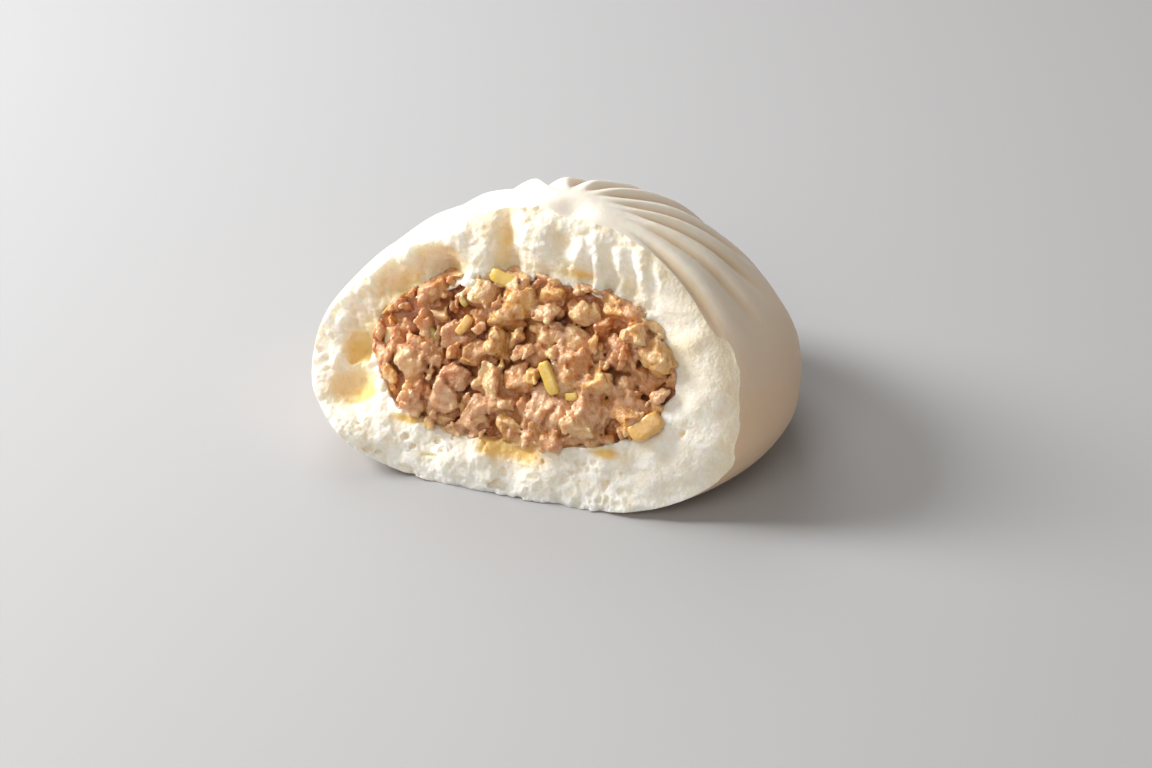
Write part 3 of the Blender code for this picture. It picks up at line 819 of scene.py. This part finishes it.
def above_crumb(places):
    """Height above the torn crumb at places in the tear's own axes, pits and tufts included."""
    u, v, w = places.T
    columns, back = np.unique(places[:, :2], axis=0, return_inverse=True)
    back = back.ravel()
    height = tear_height(*columns.T)[back]
    smooth = hollow_share(*columns.T)[back]
    air = w - height
    near = np.abs(air) < CRUMB_BAND
    fine, roughness = places[near], 1 - SMOOTH_HOLLOWS * smooth[near]
    porous = 1 - smooth_step(fine[:, 1], *POROUS_V)
    sheets = smooth_step(fine[:, 1], *SHEETS_V)
    warped = moved_about(fine, CRUMB_WARP, CRUMB_WARP_NOISE)
    drawn = smooth_step(fine[:, 0], *DRAWN_U)
    warped[:, 0] -= DRAWN_OUT * (warped[:, 0] - DRAWN_U[0]) * drawn
    roughness = roughness * faded(drawn, DRAWN_ROUGH)
    tufted = roughness * faded(sheets, SHEET_TUFTS) * faded(porous, POROUS_TUFTS)
    grown = air[near] + bend_back(fine) - tufted * tufts(warped, TUFTS, TUFT_NOISE)
    pored = roughness * faded(1 - porous, PORE_SHARE)
    for number, apart in enumerate(PORES_APART):
        grown = grown + pored * pore_depth(warped, apart, PORE_NOISE + number)
    grown = grown - CRUMB_GRAIN[1] * roughness * lump_noise(fine, CRUMB_GRAIN[0], CRUMB_GRAIN_NOISE)
    air[near] = np.maximum(grown, pocket_air(fine))
    return np.maximum(air, hollow_air(places))


def under_skin(places):
    """Rough depth below the skin of places in the tear's own axes, negative outside the bun."""
    x, y, z = on_tear(places).T
    level = np.clip((z - WIDEST_HEIGHT) / DOME_HEIGHT, 0, 1)
    reach = BUN_RADIUS * (1 - level**2) ** (CROWN_POWER / 2)
    return (reach - np.hypot(x, y)) * np.sqrt(1 - level**2)


def bend_back(places):
    """How far the torn crumb bends back where it turns into the skin."""
    near = np.clip(1 - under_skin(places) / BEND_REACH, 0, 1)
    upper = BEND_ABOVE * smooth_step(places[:, 1], *BEND_V)
    return BEND_DEPTH * near**2 * np.maximum(smooth_step(places[:, 0], *BEND_U), upper)


def pocket_air(places):
    """Distance inside the nearest pocket, negative outside all of them."""
    warped = moved_about(places, [POCKET_WARP], POCKET_NOISE)
    inside = np.full(len(places), -1.0)
    for middle, half in POCKETS:
        away = np.linalg.norm((warped - np.array(middle)) / np.array(half), axis=1)
        inside = np.maximum(inside, (1 - away) * min(half))
    return inside


def hollow_air(places):
    """Distance inside the front of the hollow that holds the filling, which the torn edge hangs over."""
    outside = outside_filling(on_tear(places))
    near = np.abs(outside) < CRUMB_BAND
    rough = np.zeros(len(places))
    rough[near] = sum(tall * lump_noise(places[near], size, HOLLOW_NOISE) for size, tall in HOLLOW_LUMPS)
    lip = smooth_step(places[:, 2], *LIP_W) * smooth_step(places[:, 1], *LIP_V)
    front = smooth_step(places[:, 2], CRUMB_W[0] + 2 * HOLLOW_OVERLAP, CRUMB_W[0] + 8 * HOLLOW_OVERLAP)
    over = sum(bell(places[:, 0], places[:, 1], spot) for spot in OVERHANGS)
    inside = FILLING_GAP - outside + (rough - CRUMB_PRESS - over) * front - LIP_REACH * lip
    return np.where(places[:, 2] > CRUMB_W[0] + HOLLOW_OVERLAP / 2, inside, -1.0)


def hollow_surface(points):
    """The smooth back of the hollow that holds the filling, flat where the torn face's air begins."""
    places = to_tear(filling_surface(points, FILLING_GAP))
    places[:, 2] = np.minimum(places[:, 2], CRUMB_W[0] + HOLLOW_OVERLAP)
    return on_tear(places)


def groove_shade_share(points):
    """How deep in a groove between two pleats each point of the unit sphere goes, from 0 to 1, which sets
    the painted shade in the creases.
    """
    radius, height = profile(np.arcsin(np.clip(points[:, 2], -1, 1)))
    turn = np.arctan2(points[:, 1], points[:, 0])
    _, phase = pleat_phase(turn)
    away = np.minimum(phase, 1 - phase)
    return np.exp(-((away / GROOVE_WIDTH) ** 2)) * pleat_strength(turn, radius) * (height > WIDEST_HEIGHT)


def paint(obj, name, values):
    """Keeps one number for each point of the mesh, which the materials read by name."""
    layer = obj.data.attributes.new(name, "FLOAT", "POINT")
    layer.data.foreach_set("value", np.asarray(values, np.float32))


def values_of(items, name, kind, each=1):
    """One value, or a few, of each item of a mesh as an array."""
    flat = np.empty(len(items) * each, kind)
    items.foreach_get(name, flat)
    return flat


def points_of(obj):
    return values_of(obj.data.vertices, "co", np.float32, 3).reshape(-1, 3).astype(float)


def paint_dough(dough, source, groove_shades):
    """Painted warm shade in the crumb's hollows, pockets, pits and spots with the soaked ring round the
    filling, the juice on the crumb, and painted shade in the skin's pleat creases.
    """
    tree = KDTree(len(source))
    for number, place in enumerate(source):
        tree.insert(place, number)
    tree.balance()
    points = points_of(dough)
    nearest = np.array([tree.find(place)[1] for place in points])
    # Painted shade in the skin's pleat creases
    paint(dough, "groove", groove_shades[nearest])
    places = to_tear(points)
    u, v, w = places.T
    pit = np.clip((tear_height(u, v) + PIT_START - w) / PIT_DEPTH, 0, 1)
    blotch = 0.5 + 0.5 * lump_noise(places, BLOTCH_SIZE, BLOTCH_NOISE)
    pocket = smooth_step(pocket_air(places), *POCKET_EDGE) * smooth_step(u, *POCKETS_U)
    soaked = blotch * np.exp(-(((face_away(u, v) - SOAKED_AT) / SOAKED_WIDTH) ** 2))
    soaked = soaked * (SOAKED_LOW + (1 - SOAKED_LOW) * smooth_step(v, *SOAKED_V))
    spots = sum(bell(u, v, spot) for spot in WARM_SHADE_SPOTS)
    spots = spots * (SPOT_SHARE + SPOT_BLOTCH * blotch + SPOT_PIT * pit)
    causes = hollow_share(u, v), pocket, pit, soaked, spots
    warm = sum(share * cause for share, cause in zip(WARM_SHARES, causes))
    # Painted warm shade in hollows, pockets, pits and spots, together with the soaked ring
    paint(dough, "warm_shade_and_soak", np.clip(warm, 0, 1))
    ragged = 1 + RAGGED_SHARE * lump_noise(places, RAGGED_SIZE, RAGGED_NOISE)
    juice = sum(bell(u, v, (*spot, 1.0)) for spot in JUICE_SPOTS) * ragged
    paint(dough, "juice", np.clip(juice, 0, 1))


def keep_edges_sharp(obj):
    """Smooth shading everywhere but where two materials meet."""
    mesh = obj.data
    mesh.shade_smooth()
    edges = values_of(mesh.loops, "edge_index", np.int32)
    totals = values_of(mesh.polygons, "loop_total", np.int32)
    by_corner = np.repeat(values_of(mesh.polygons, "material_index", np.int32), totals)
    low = np.full(len(mesh.edges), 9)
    high = np.full(len(mesh.edges), -1)
    np.minimum.at(low, edges, by_corner)
    np.maximum.at(high, edges, by_corner)
    layer = mesh.attributes.new("sharp_edge", "BOOLEAN", "EDGE")
    layer.data.foreach_set("value", low != high)


def make_dough(skin, crumb):
    both = [skin, crumb]
    grid = PLEATS * SKIN_SEGMENTS_PER_PLEAT, SKIN_RINGS
    dough, unit = sphere_object("dough_skin_and_crumb", *grid, bun_surface, both)
    source = points_of(dough)
    ends = (-FAR_U, FAR_U), (-FAR_V, FAR_V), (CRUMB_W[0] - GRID_MARGIN, FAR_W)
    lines = grid_lines((CRUMB_U, CRUMB_V, CRUMB_W), ends, CRUMB_CELL)
    air = air_block("crumb_air", lines, above_crumb, both, 1)
    hollow, _ = sphere_object("hollow", FILLING_SEGMENTS, FILLING_RINGS, hollow_surface, both, 1)
    cut(dough, [air, hollow])
    keep_edges_sharp(dough)
    paint_dough(dough, source, groove_shade_share(unit))
    return dough


def face_place(away, angle):
    """The place on the torn face that is so far out on the face of the filling, at that angle."""
    cosine, sine = math.cos(angle), math.sin(angle)
    away = away / (abs(cosine) ** FACE_SQUARE + abs(sine) ** FACE_SQUARE) ** (1 / FACE_SQUARE)
    long_way, short_way = FILLING_FACE_U * away * cosine, FILLING_FACE_V * away * sine
    u = FACE_MIDDLE_U + ALONG * long_way - ACROSS * short_way
    v = FACE_MIDDLE_V + ACROSS * long_way + ALONG * short_way
    return u, v


def edge_sink(away, angle):
    """How far back a chunk lies: most at the upper edge, where the crumb hangs over, least at the lower."""
    return CHUNK_EDGE_SINK * away**2 * (0.5 + 0.5 * math.sin(angle))


def random_turn(draw):
    return Euler([draw.uniform(-math.pi, math.pi) for _ in range(3)])


def spiral_pieces(seed, count, spread, first_angle, sink, sizes, half, uneven):
    """Pieces of pork spread evenly over the face of the filling: (u, v, w), half sizes and a turn."""
    draw = random.Random(seed)
    for number in range(count):
        away = spread * math.sqrt((number + 0.5) / count)
        angle = number * GOLDEN_ANGLE + first_angle
        u, v = face_place(away, angle)
        u, v = u + draw.uniform(-1, 1) * CHUNK_JITTER, v + draw.uniform(-1, 1) * CHUNK_JITTER
        w = draw.uniform(*sink) - edge_sink(away, angle)
        scale = draw.uniform(*sizes)
        sides = [scale * side * draw.uniform(*uneven) for side in half]
        yield (u, v, w), sides, random_turn(draw)


def rim_bits():
    """Bits that close the gap between the chunks and the crumb round them."""
    draw = random.Random(RIM_SEED)
    for number in range(RIM_BITS):
        angle = 2 * math.pi * (number + draw.uniform(-RIM_JITTER, RIM_JITTER)) / RIM_BITS
        u, v = face_place(draw.uniform(*RIM_AWAY), angle)
        scale = draw.uniform(*RIM_SIZES)
        half = [scale * side for side in BIT_HALF]
        turn = random_turn(draw)
        yield (u, v, draw.uniform(*RIM_SINK)), half, turn


def chunk_distance(places, chunk, sides):
    """Rough distance outside one chunk with flat sides and blunt edges."""
    middle, half, turn = chunk
    local = (on_tear(places) - on_tear(np.array([middle]))) @ np.array(turn.to_matrix()) / np.array(half)
    directions, distances = sides
    over = (local @ directions.T - distances) * CHUNK_SHARPNESS
    top = over.max(axis=1)
    blunt = top + np.log(np.exp(over - top[:, None]).sum(axis=1))
    round_off = np.linalg.norm(local, axis=1) - CHUNK_ROUND
    return np.maximum(blunt / CHUNK_SHARPNESS, round_off) * min(half)


def chunk_sides(draw):
    """Random flat sides: their directions and how far out each one is."""
    count = draw.randint(*CHUNK_SIDES)
    turned = draw.uniform(0, 2 * math.pi)
    directions, distances = [], []
    for number in range(count):
        height = 1 - 2 * (number + 0.5) / count
        level = math.sqrt(1 - height**2)
        angle = number * GOLDEN_ANGLE + turned
        directions.append((level * math.cos(angle), level * math.sin(angle), height))
        distances.append(draw.uniform(*SIDE_OUT))
    return np.array(directions), np.array(distances)


def standing_out():
    """The pieces of the filling that stand out, turned within the torn face."""
    for middle, half, turn, _ in STANDING_OUT:
        in_face = Matrix.Rotation(math.radians(turn), 3, "Z")
        axes = Matrix(TEAR_AXES.tolist()).transposed()
        yield *in_metres((middle, half)), (axes @ in_face).to_euler()


def nearest_chunks(places):
    """Signed distance to the nearest chunk and the next one, and the number of the nearest."""
    best = np.full(len(places), FAR_AWAY)
    second = np.full(len(places), FAR_AWAY)
    who = np.full(len(places), -1)
    warped = moved_about(places, CHUNK_WARP, CHUNK_WARP_NOISE, seeds_each=4)
    for number, chunk in enumerate(all_chunks):
        reach = max(chunk[1]) + CHUNK_MARGIN
        close = np.flatnonzero(np.abs(warped - np.array(chunk[0])).max(axis=1) < reach)
        away = chunk_distance(warped[close], chunk, all_sides[number])
        closer = away < best[close]
        second[close] = np.where(closer, best[close], np.minimum(second[close], away))
        best[close[closer]] = away[closer]
        who[close[closer]] = number
    return best, second, who


def above_filling(places):
    """Height above the chunks at places in the tear's own axes, with a groove where two chunks meet."""
    columns, back = np.unique(places[:, :2], axis=0, return_inverse=True)
    air = places[:, 2] - CORE_RAISE - core_height(*columns.T)[back.ravel()]
    near = np.abs(places[:, 2]) < FACE_BAND
    fine = places[near]
    best, second, _ = nearest_chunks(fine)
    second = np.minimum(second, air[near])
    joined = smooth_step(lump_noise(fine, JOIN_SIZE, JOIN_NOISE), *JOIN_AT)
    apart = np.clip(second - best, 0, 1)
    groove = np.exp(-((apart / CREVICE_WIDTH) ** 2))
    reach = JOIN_REACH * joined + TINY
    best = best + CREVICE_DEPTH * groove * (1 - joined) - reach * np.clip(1 - apart / reach, 0, 1) ** 2 / 4
    skin = np.abs(best) < CHUNK_BAND
    best[skin] -= tufts(fine[skin], CHUNK_TUFTS, CHUNK_TUFT_NOISE)
    best[skin] -= CHUNK_GRAIN[1] * lump_noise(fine[skin], CHUNK_GRAIN[0], CHUNK_GRAIN_NOISE)
    air[near] = np.minimum(air[near], best)
    outside = outside_filling(on_tear(places))
    rim = np.abs(outside) < CRUMB_BAND
    rough = np.zeros(len(places))
    rough[rim] = -tufts(places[rim], BALL_LUMPS, BALL_NOISE)
    front = smooth_step(places[:, 2], *BALL_W)
    return np.maximum(air, outside + (rough + BALL_PRESS) * front - BALL_FADE * (1 - front))


def paint_filling(filling):
    """A tint for each chunk, painted shade from how deep between and behind the chunks each point lies, and
    paler lump tops, partly fat and partly painted highlight.
    """
    places = to_tear(points_of(filling))
    best, second, who = nearest_chunks(places)
    draw = random.Random(TINT_SEED)
    tints = np.array([draw.uniform(*TINT_RANGE) for _ in range(len(all_chunks) - len(STANDING_OUT))])
    tints = np.concatenate([tints, [piece[3] for piece in STANDING_OUT], [TAN]])
    paint(filling, "tint", tints[who])
    rim = np.exp(-((outside_filling(on_tear(places)) / RIM_REACH) ** 2)) * smooth_step(places[:, 1], *RIM_V)
    # Painted shade in the recess behind the chunks and in the crevices between them
    deep = np.clip(places[:, 2] / CORE_RECESS, 0, 1) * (1 - RIM_LIGHTER * rim)
    crevice = np.exp(-((np.clip(second - best, 0, 1) / (2 * CREVICE_WIDTH)) ** 2))
    paint(filling, "shade", np.clip(DEEP_SHADE * deep + CREVICE_SHADE * crevice, 0, 1))
    # Paler tops of the lumps, less in the painted shade: partly fat, partly painted highlight
    paint(filling, "fat_and_highlight_tops", tuft_noise(places, CHUNK_TUFTS[0][0], CHUNK_TUFT_NOISE) * (1 - deep))


def make_filling(meat):
    filling, _ = sphere_object("pork_pieces", FILLING_SEGMENTS, FILLING_RINGS, filling_surface, [meat])
    ranges = FILLING_U, FILLING_V, FILLING_W
    ends = [(low - GRID_MARGIN, high + GRID_MARGIN) for low, high in ranges]
    ends[2] = ends[2][0], FAR_W
    lines = grid_lines(ranges, ends, FILLING_CELL)
    cut(filling, [air_block("filling_air", lines, above_filling, [meat], 0)])
    filling.data.shade_smooth()
    paint_filling(filling)
    return filling


def stick(number, place, half, turn):
    """Points and faces of one bent stick with a squarish section and blunt ends."""
    half_length, half_width, half_thickness = half
    rings = np.linspace(0, math.pi, STICK_RINGS + 1)[1:-1]
    angles = np.arange(STICK_SIDES) * 2 * math.pi / STICK_SIDES
    along, round_it = np.meshgrid(rings, angles, indexing="ij")
    blunt = np.sin(along) ** STICK_BLUNT

    def squared(value):
        return np.sign(value) * np.abs(value) ** STICK_SQUARE

    x = -half_length * np.cos(along)
    y = half_width * blunt * squared(np.cos(round_it))
    z = half_thickness * blunt * squared(np.sin(round_it))
    y = y + STICK_BEND * half_length * (x / half_length) ** 2
    flat = np.stack([x.ravel(), y.ravel(), z.ravel()], axis=1)
    flat = np.concatenate([flat, [[-half_length, 0, 0], [half_length, 0, 0]]])
    flat[-2:, 1] += STICK_BEND * half_length
    flat[:, 1:] *= 1 + STICK_LUMP * lump_noise(flat, STICK_LUMP_SIZE, STICK_NOISE + number)[:, None]
    turned = math.radians(turn)
    u = math.cos(turned) * flat[:, 0] - math.sin(turned) * flat[:, 1]
    v = math.sin(turned) * flat[:, 0] + math.cos(turned) * flat[:, 1]
    points = on_tear(np.stack([u, v, flat[:, 2]], axis=1) + np.array(place))
    faces = []
    last = len(rings) - 1
    for side in range(STICK_SIDES):
        after = (side + 1) % STICK_SIDES
        for ring in range(last):
            start, end = ring * STICK_SIDES, (ring + 1) * STICK_SIDES
            faces.append((start + side, start + after, end + after, end + side))
        faces.append((len(points) - 2, after, side))
        faces.append((len(points) - 1, last * STICK_SIDES + side, last * STICK_SIDES + after))
    return points, faces


def make_vegetables(surface):
    points, faces, hues = [], [], []
    for number, (place, half, turn, hue) in enumerate(VEGETABLES):
        more, sides = stick(number, *in_metres((place, half)), turn)
        faces += [tuple(corner + len(points) for corner in side) for side in sides]
        points += more.tolist()
        hues += [hue] * len(more)
    mesh = bpy.data.meshes.new("vegetable_bits")
    mesh.from_pydata(points, [], faces)
    mesh.shade_smooth()
    made = added("vegetable_bits", mesh, [surface])
    paint(made, "hue", hues)
    return made


all_chunks = [
    *spiral_pieces(CHUNK_SEED, CHUNKS, CHUNK_SPREAD, 0, CHUNK_SINK, CHUNK_SIZES, CHUNK_HALF, CHUNK_UNEVEN),
    *spiral_pieces(BIT_SEED, BITS, 1.0, BIT_FIRST_ANGLE, BIT_SINK, BIT_SIZES, BIT_HALF, BIT_UNEVEN),
    *rim_bits(),
    *standing_out(),
]
side_draw = random.Random(SIDE_SEED)
all_sides = [chunk_sides(side_draw) for _ in all_chunks]


# Places of the colour sockets of a mix node
MIX_FIRST, MIX_SECOND, MIX_RESULT = 6, 7, 2


class Surface:
    """A material whose node network is put together step by step."""

    def __init__(self, name):
        self.material = bpy.data.materials.new(name)
        self.material.use_nodes = True
        self.nodes = self.material.node_tree.nodes
        self.links = self.material.node_tree.links
        self.shader = self.nodes["Principled BSDF"]
        self.places = self.nodes.new("ShaderNodeTexCoord").outputs["Object"]

    def feed(self, socket, value):
        """Sets a socket to a number or a colour, or links it to another node's output."""
        if isinstance(value, bpy.types.NodeSocket):
            self.links.new(value, socket)
        elif isinstance(value, tuple) and socket.type == "RGBA":
            socket.default_value = (*value, 1.0)
        else:
            socket.default_value = value

    def set(self, **values):
        for name, value in values.items():
            self.feed(self.shader.inputs[name.replace("_", " ")], value)
        return self.material

    def node(self, kind, result, **values):
        """Adds a node, feeds its sockets by name and gives one of its outputs."""
        made = self.nodes.new("ShaderNode" + kind)
        for name, value in values.items():
            self.feed(made.inputs[name.replace("_", " ")], value)
        return made.outputs[result]

    def noise(self, size, detail=2.0):
        return self.node("TexNoise", "Fac", Vector=self.places, Scale=1 / size, Detail=detail)

    def cells(self, size):
        return self.node("TexVoronoi", "Distance", Vector=self.places, Scale=1 / size)

    def painted(self, name):
        value = self.node("Attribute", "Fac")
        value.node.attribute_name = name
        return value

    def maths(self, operation, first, second):
        value = self.node("Math", "Value")
        value.node.operation = operation
        self.feed(value.node.inputs[0], first)
        self.feed(value.node.inputs[1], second)
        return value

    def stretched(self, value, start, end, low=0.0, high=1.0):
        ends = {"From_Min": start, "From_Max": end, "To_Min": low, "To_Max": high}
        return self.node("MapRange", "Result", Value=value, **ends)

    def ramp(self, value, stops):
        colour = self.node("ValToRGB", "Color", Fac=value)
        marks = colour.node.color_ramp.elements
        while len(marks) < len(stops):
            marks.new(0.5)
        for mark, (place, tone) in zip(marks, stops):
            mark.position = place
            mark.color = (*tone, 1.0)
        return colour

    def mixed(self, share, first, second):
        made = self.nodes.new("ShaderNodeMix")
        made.data_type = "RGBA"
        self.feed(made.inputs["Factor"], share)
        self.feed(made.inputs[MIX_FIRST], first)
        self.feed(made.inputs[MIX_SECOND], second)
        return made.outputs[MIX_RESULT]

    def bumps(self, *layers):
        """Adds bump layers: pairs of a height pattern and its height in metres."""
        normal = {}
        for height, tall in layers:
            bump = self.node("Bump", "Normal", Strength=1.0, Distance=tall, Height=height, **normal)
            normal = {"Normal": bump}
        self.set(**normal)


def skin_surface():
    made = Surface("steamed_skin")
    base = made.ramp(made.noise(0.018, 3.0), ((0.3, SKIN_PALE), (0.7, SKIN_CREAM)))
    height = made.node("SeparateXYZ", "Z", Vector=made.places)
    # Painted warm shade, growing towards the bottom of the bun
    warm = made.stretched(height, *SKIN_SHADE_HEIGHTS)
    base = made.mixed(made.maths("MULTIPLY", warm, SKIN_SHADE_SHARE), base, SKIN_WARM_SHADE)
    # Painted warm shade in the creases between the pleats
    base = made.mixed(made.maths("MULTIPLY", made.painted("groove"), 0.8), base, SKIN_GROOVE_SHADE)
    made.bumps((made.noise(0.0040, 2.0), 0.00020), (made.noise(0.0009, 3.0), 0.00005))
    made.set(Subsurface_Weight=0.35, Subsurface_Scale=0.006, Subsurface_Radius=(1.0, 0.6, 0.35))
    rough = made.stretched(made.noise(0.0035, 3.0), 0.3, 0.7, 0.42, 0.56)
    return made.set(Base_Color=base, Roughness=rough)


def crumb_surface():
    made = Surface("torn_crumb")
    base = made.ramp(made.noise(0.0030, 3.0), ((0.25, CRUMB_SHADE), (0.6, CRUMB_WHITE)))
    # Painted warm shade in the hollows, pockets and pits, and the soaked ring round the filling
    base = made.mixed(made.painted("warm_shade_and_soak"), base, CRUMB_YELLOW)
    base = made.mixed(made.painted("juice"), base, CRUMB_JUICE)
    made.bumps((made.noise(0.0012, 4.0), 0.00020), (made.cells(0.0007), 0.00012))
    made.set(Subsurface_Weight=0.45, Subsurface_Scale=0.005, Subsurface_Radius=(1.0, 0.75, 0.5))
    made.set(Specular_IOR_Level=0.25)
    return made.set(Base_Color=base, Roughness=made.stretched(made.painted("juice"), 0.0, 1.0, 0.85, 0.35))


def meat_surface():
    made = Surface("minced_pork")
    uneven = made.stretched(made.noise(0.0026, 3.0), 0.3, 0.7, -0.15, 0.15)
    base = made.ramp(made.maths("ADD", made.painted("tint"), uneven), PORK_TINTS)
    fat = made.stretched(made.noise(0.0014, 4.0), 0.52, 0.72)
    base = made.mixed(made.maths("MULTIPLY", fat, 0.5), base, PORK_FAT)
    # Paler lump tops: partly fat colour, partly painted highlight
    fat_and_highlight_tops = made.stretched(made.painted("fat_and_highlight_tops"), 0.45, 0.95)
    base = made.mixed(made.maths("MULTIPLY", fat_and_highlight_tops, 0.5), base, PORK_FAT)
    # Painted shade between and behind the chunks
    base = made.mixed(made.painted("shade"), base, PORK_DEEP_SHADE)
    made.bumps((made.noise(0.0011, 3.0), 0.00034), (made.cells(0.0006), 0.00018))
    made.set(Subsurface_Weight=0.45, Subsurface_Scale=0.0035, Subsurface_Radius=(1.0, 0.45, 0.22))
    made.set(Coat_Weight=0.25, Coat_Roughness=0.18)
    rough = made.stretched(made.noise(0.0010, 3.0), 0.35, 0.65, 0.26, 0.52)
    return made.set(Base_Color=base, Roughness=rough)


def vegetable_surface():
    made = Surface("vegetables")
    base = made.ramp(made.painted("hue"), VEGETABLE_HUES)
    pale = made.stretched(made.noise(0.0012, 3.0), 0.45, 0.75)
    base = made.mixed(made.maths("MULTIPLY", pale, 0.5), base, VEGETABLE_PALE)
    made.bumps((made.noise(0.0007, 2.0), 0.00015))
    made.set(Subsurface_Weight=0.35, Subsurface_Scale=0.003, Subsurface_Radius=(1.0, 0.8, 0.3))
    made.set(Coat_Weight=0.3, Coat_Roughness=0.15)
    rough = made.stretched(made.noise(0.0008, 2.0), 0.3, 0.7, 0.25, 0.45)
    return made.set(Base_Color=base, Roughness=rough)


dough = make_dough(skin_surface(), crumb_surface())
filling = make_filling(meat_surface())
vegetables = make_vegetables(vegetable_surface())
for piece in (dough, filling, vegetables):
    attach(piece, "root")
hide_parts("bun_dough")
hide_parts("pork_filling")

# Floor, light and camera
FLOOR_SIZE, FLOOR_GREY = 6.0, (0.42, 0.43, 0.45)
WORLD_COLOUR, WORLD_STRENGTH = (1.0, 0.90, 0.80), 0.30
# Lights: name, place, the point it faces, size, power and colour
LIGHTS = (
    ("key", (-0.74, -0.04, 0.50), (0, -0.01, 0.02), (0.36, 0.36), 11.6, (1.0, 0.985, 0.96)),
    ("fill", (-0.05, -0.85, 0.60), (0, 0, 0.02), (0.6, 0.5), 3.1, (1.0, 0.96, 0.90)),
    ("back", (-0.45, 0.60, 0.70), (0, 0, 0.03), (0.6, 0.6), 3.0, (1.0, 1.0, 1.0)),
)
CAMERA_PLACE, CAMERA_FORWARD = (0.174684, -0.469015, 0.287122), (-0.3006, 0.8213, -0.4848)
CAMERA_LENS, CAMERA_SENSOR = 85, 36

bpy.ops.mesh.primitive_plane_add(size=FLOOR_SIZE, location=(0, 0, 0))
floor = bpy.context.object
floor.name = "floor"
floor.data.materials.append(Surface("pale_floor").set(Base_Color=FLOOR_GREY, Roughness=0.6))


def placed(made, place, forward):
    """Puts a light or a camera at a place, facing forward."""
    made.location = place
    made.rotation_euler = Vector(forward).to_track_quat("-Z", "Y").to_euler()
    return made


for name, place, target, size, power, colour in LIGHTS:
    data = bpy.data.lights.new(name, "AREA")
    data.shape = "RECTANGLE"
    data.size, data.size_y = size
    data.energy, data.color = power, colour
    placed(added(name, data), place, Vector(target) - Vector(place))

world = bpy.data.worlds.new("studio")
world.use_nodes = True
world.node_tree.nodes["Background"].inputs["Color"].default_value = (*WORLD_COLOUR, 1.0)
world.node_tree.nodes["Background"].inputs["Strength"].default_value = WORLD_STRENGTH
scene = bpy.context.scene
scene.world = world

camera_data = bpy.data.cameras.new("camera")
camera_data.lens, camera_data.sensor_width = CAMERA_LENS, CAMERA_SENSOR
scene.camera = placed(added("camera", camera_data), CAMERA_PLACE, CAMERA_FORWARD)
scene.view_settings.view_transform = "Standard"
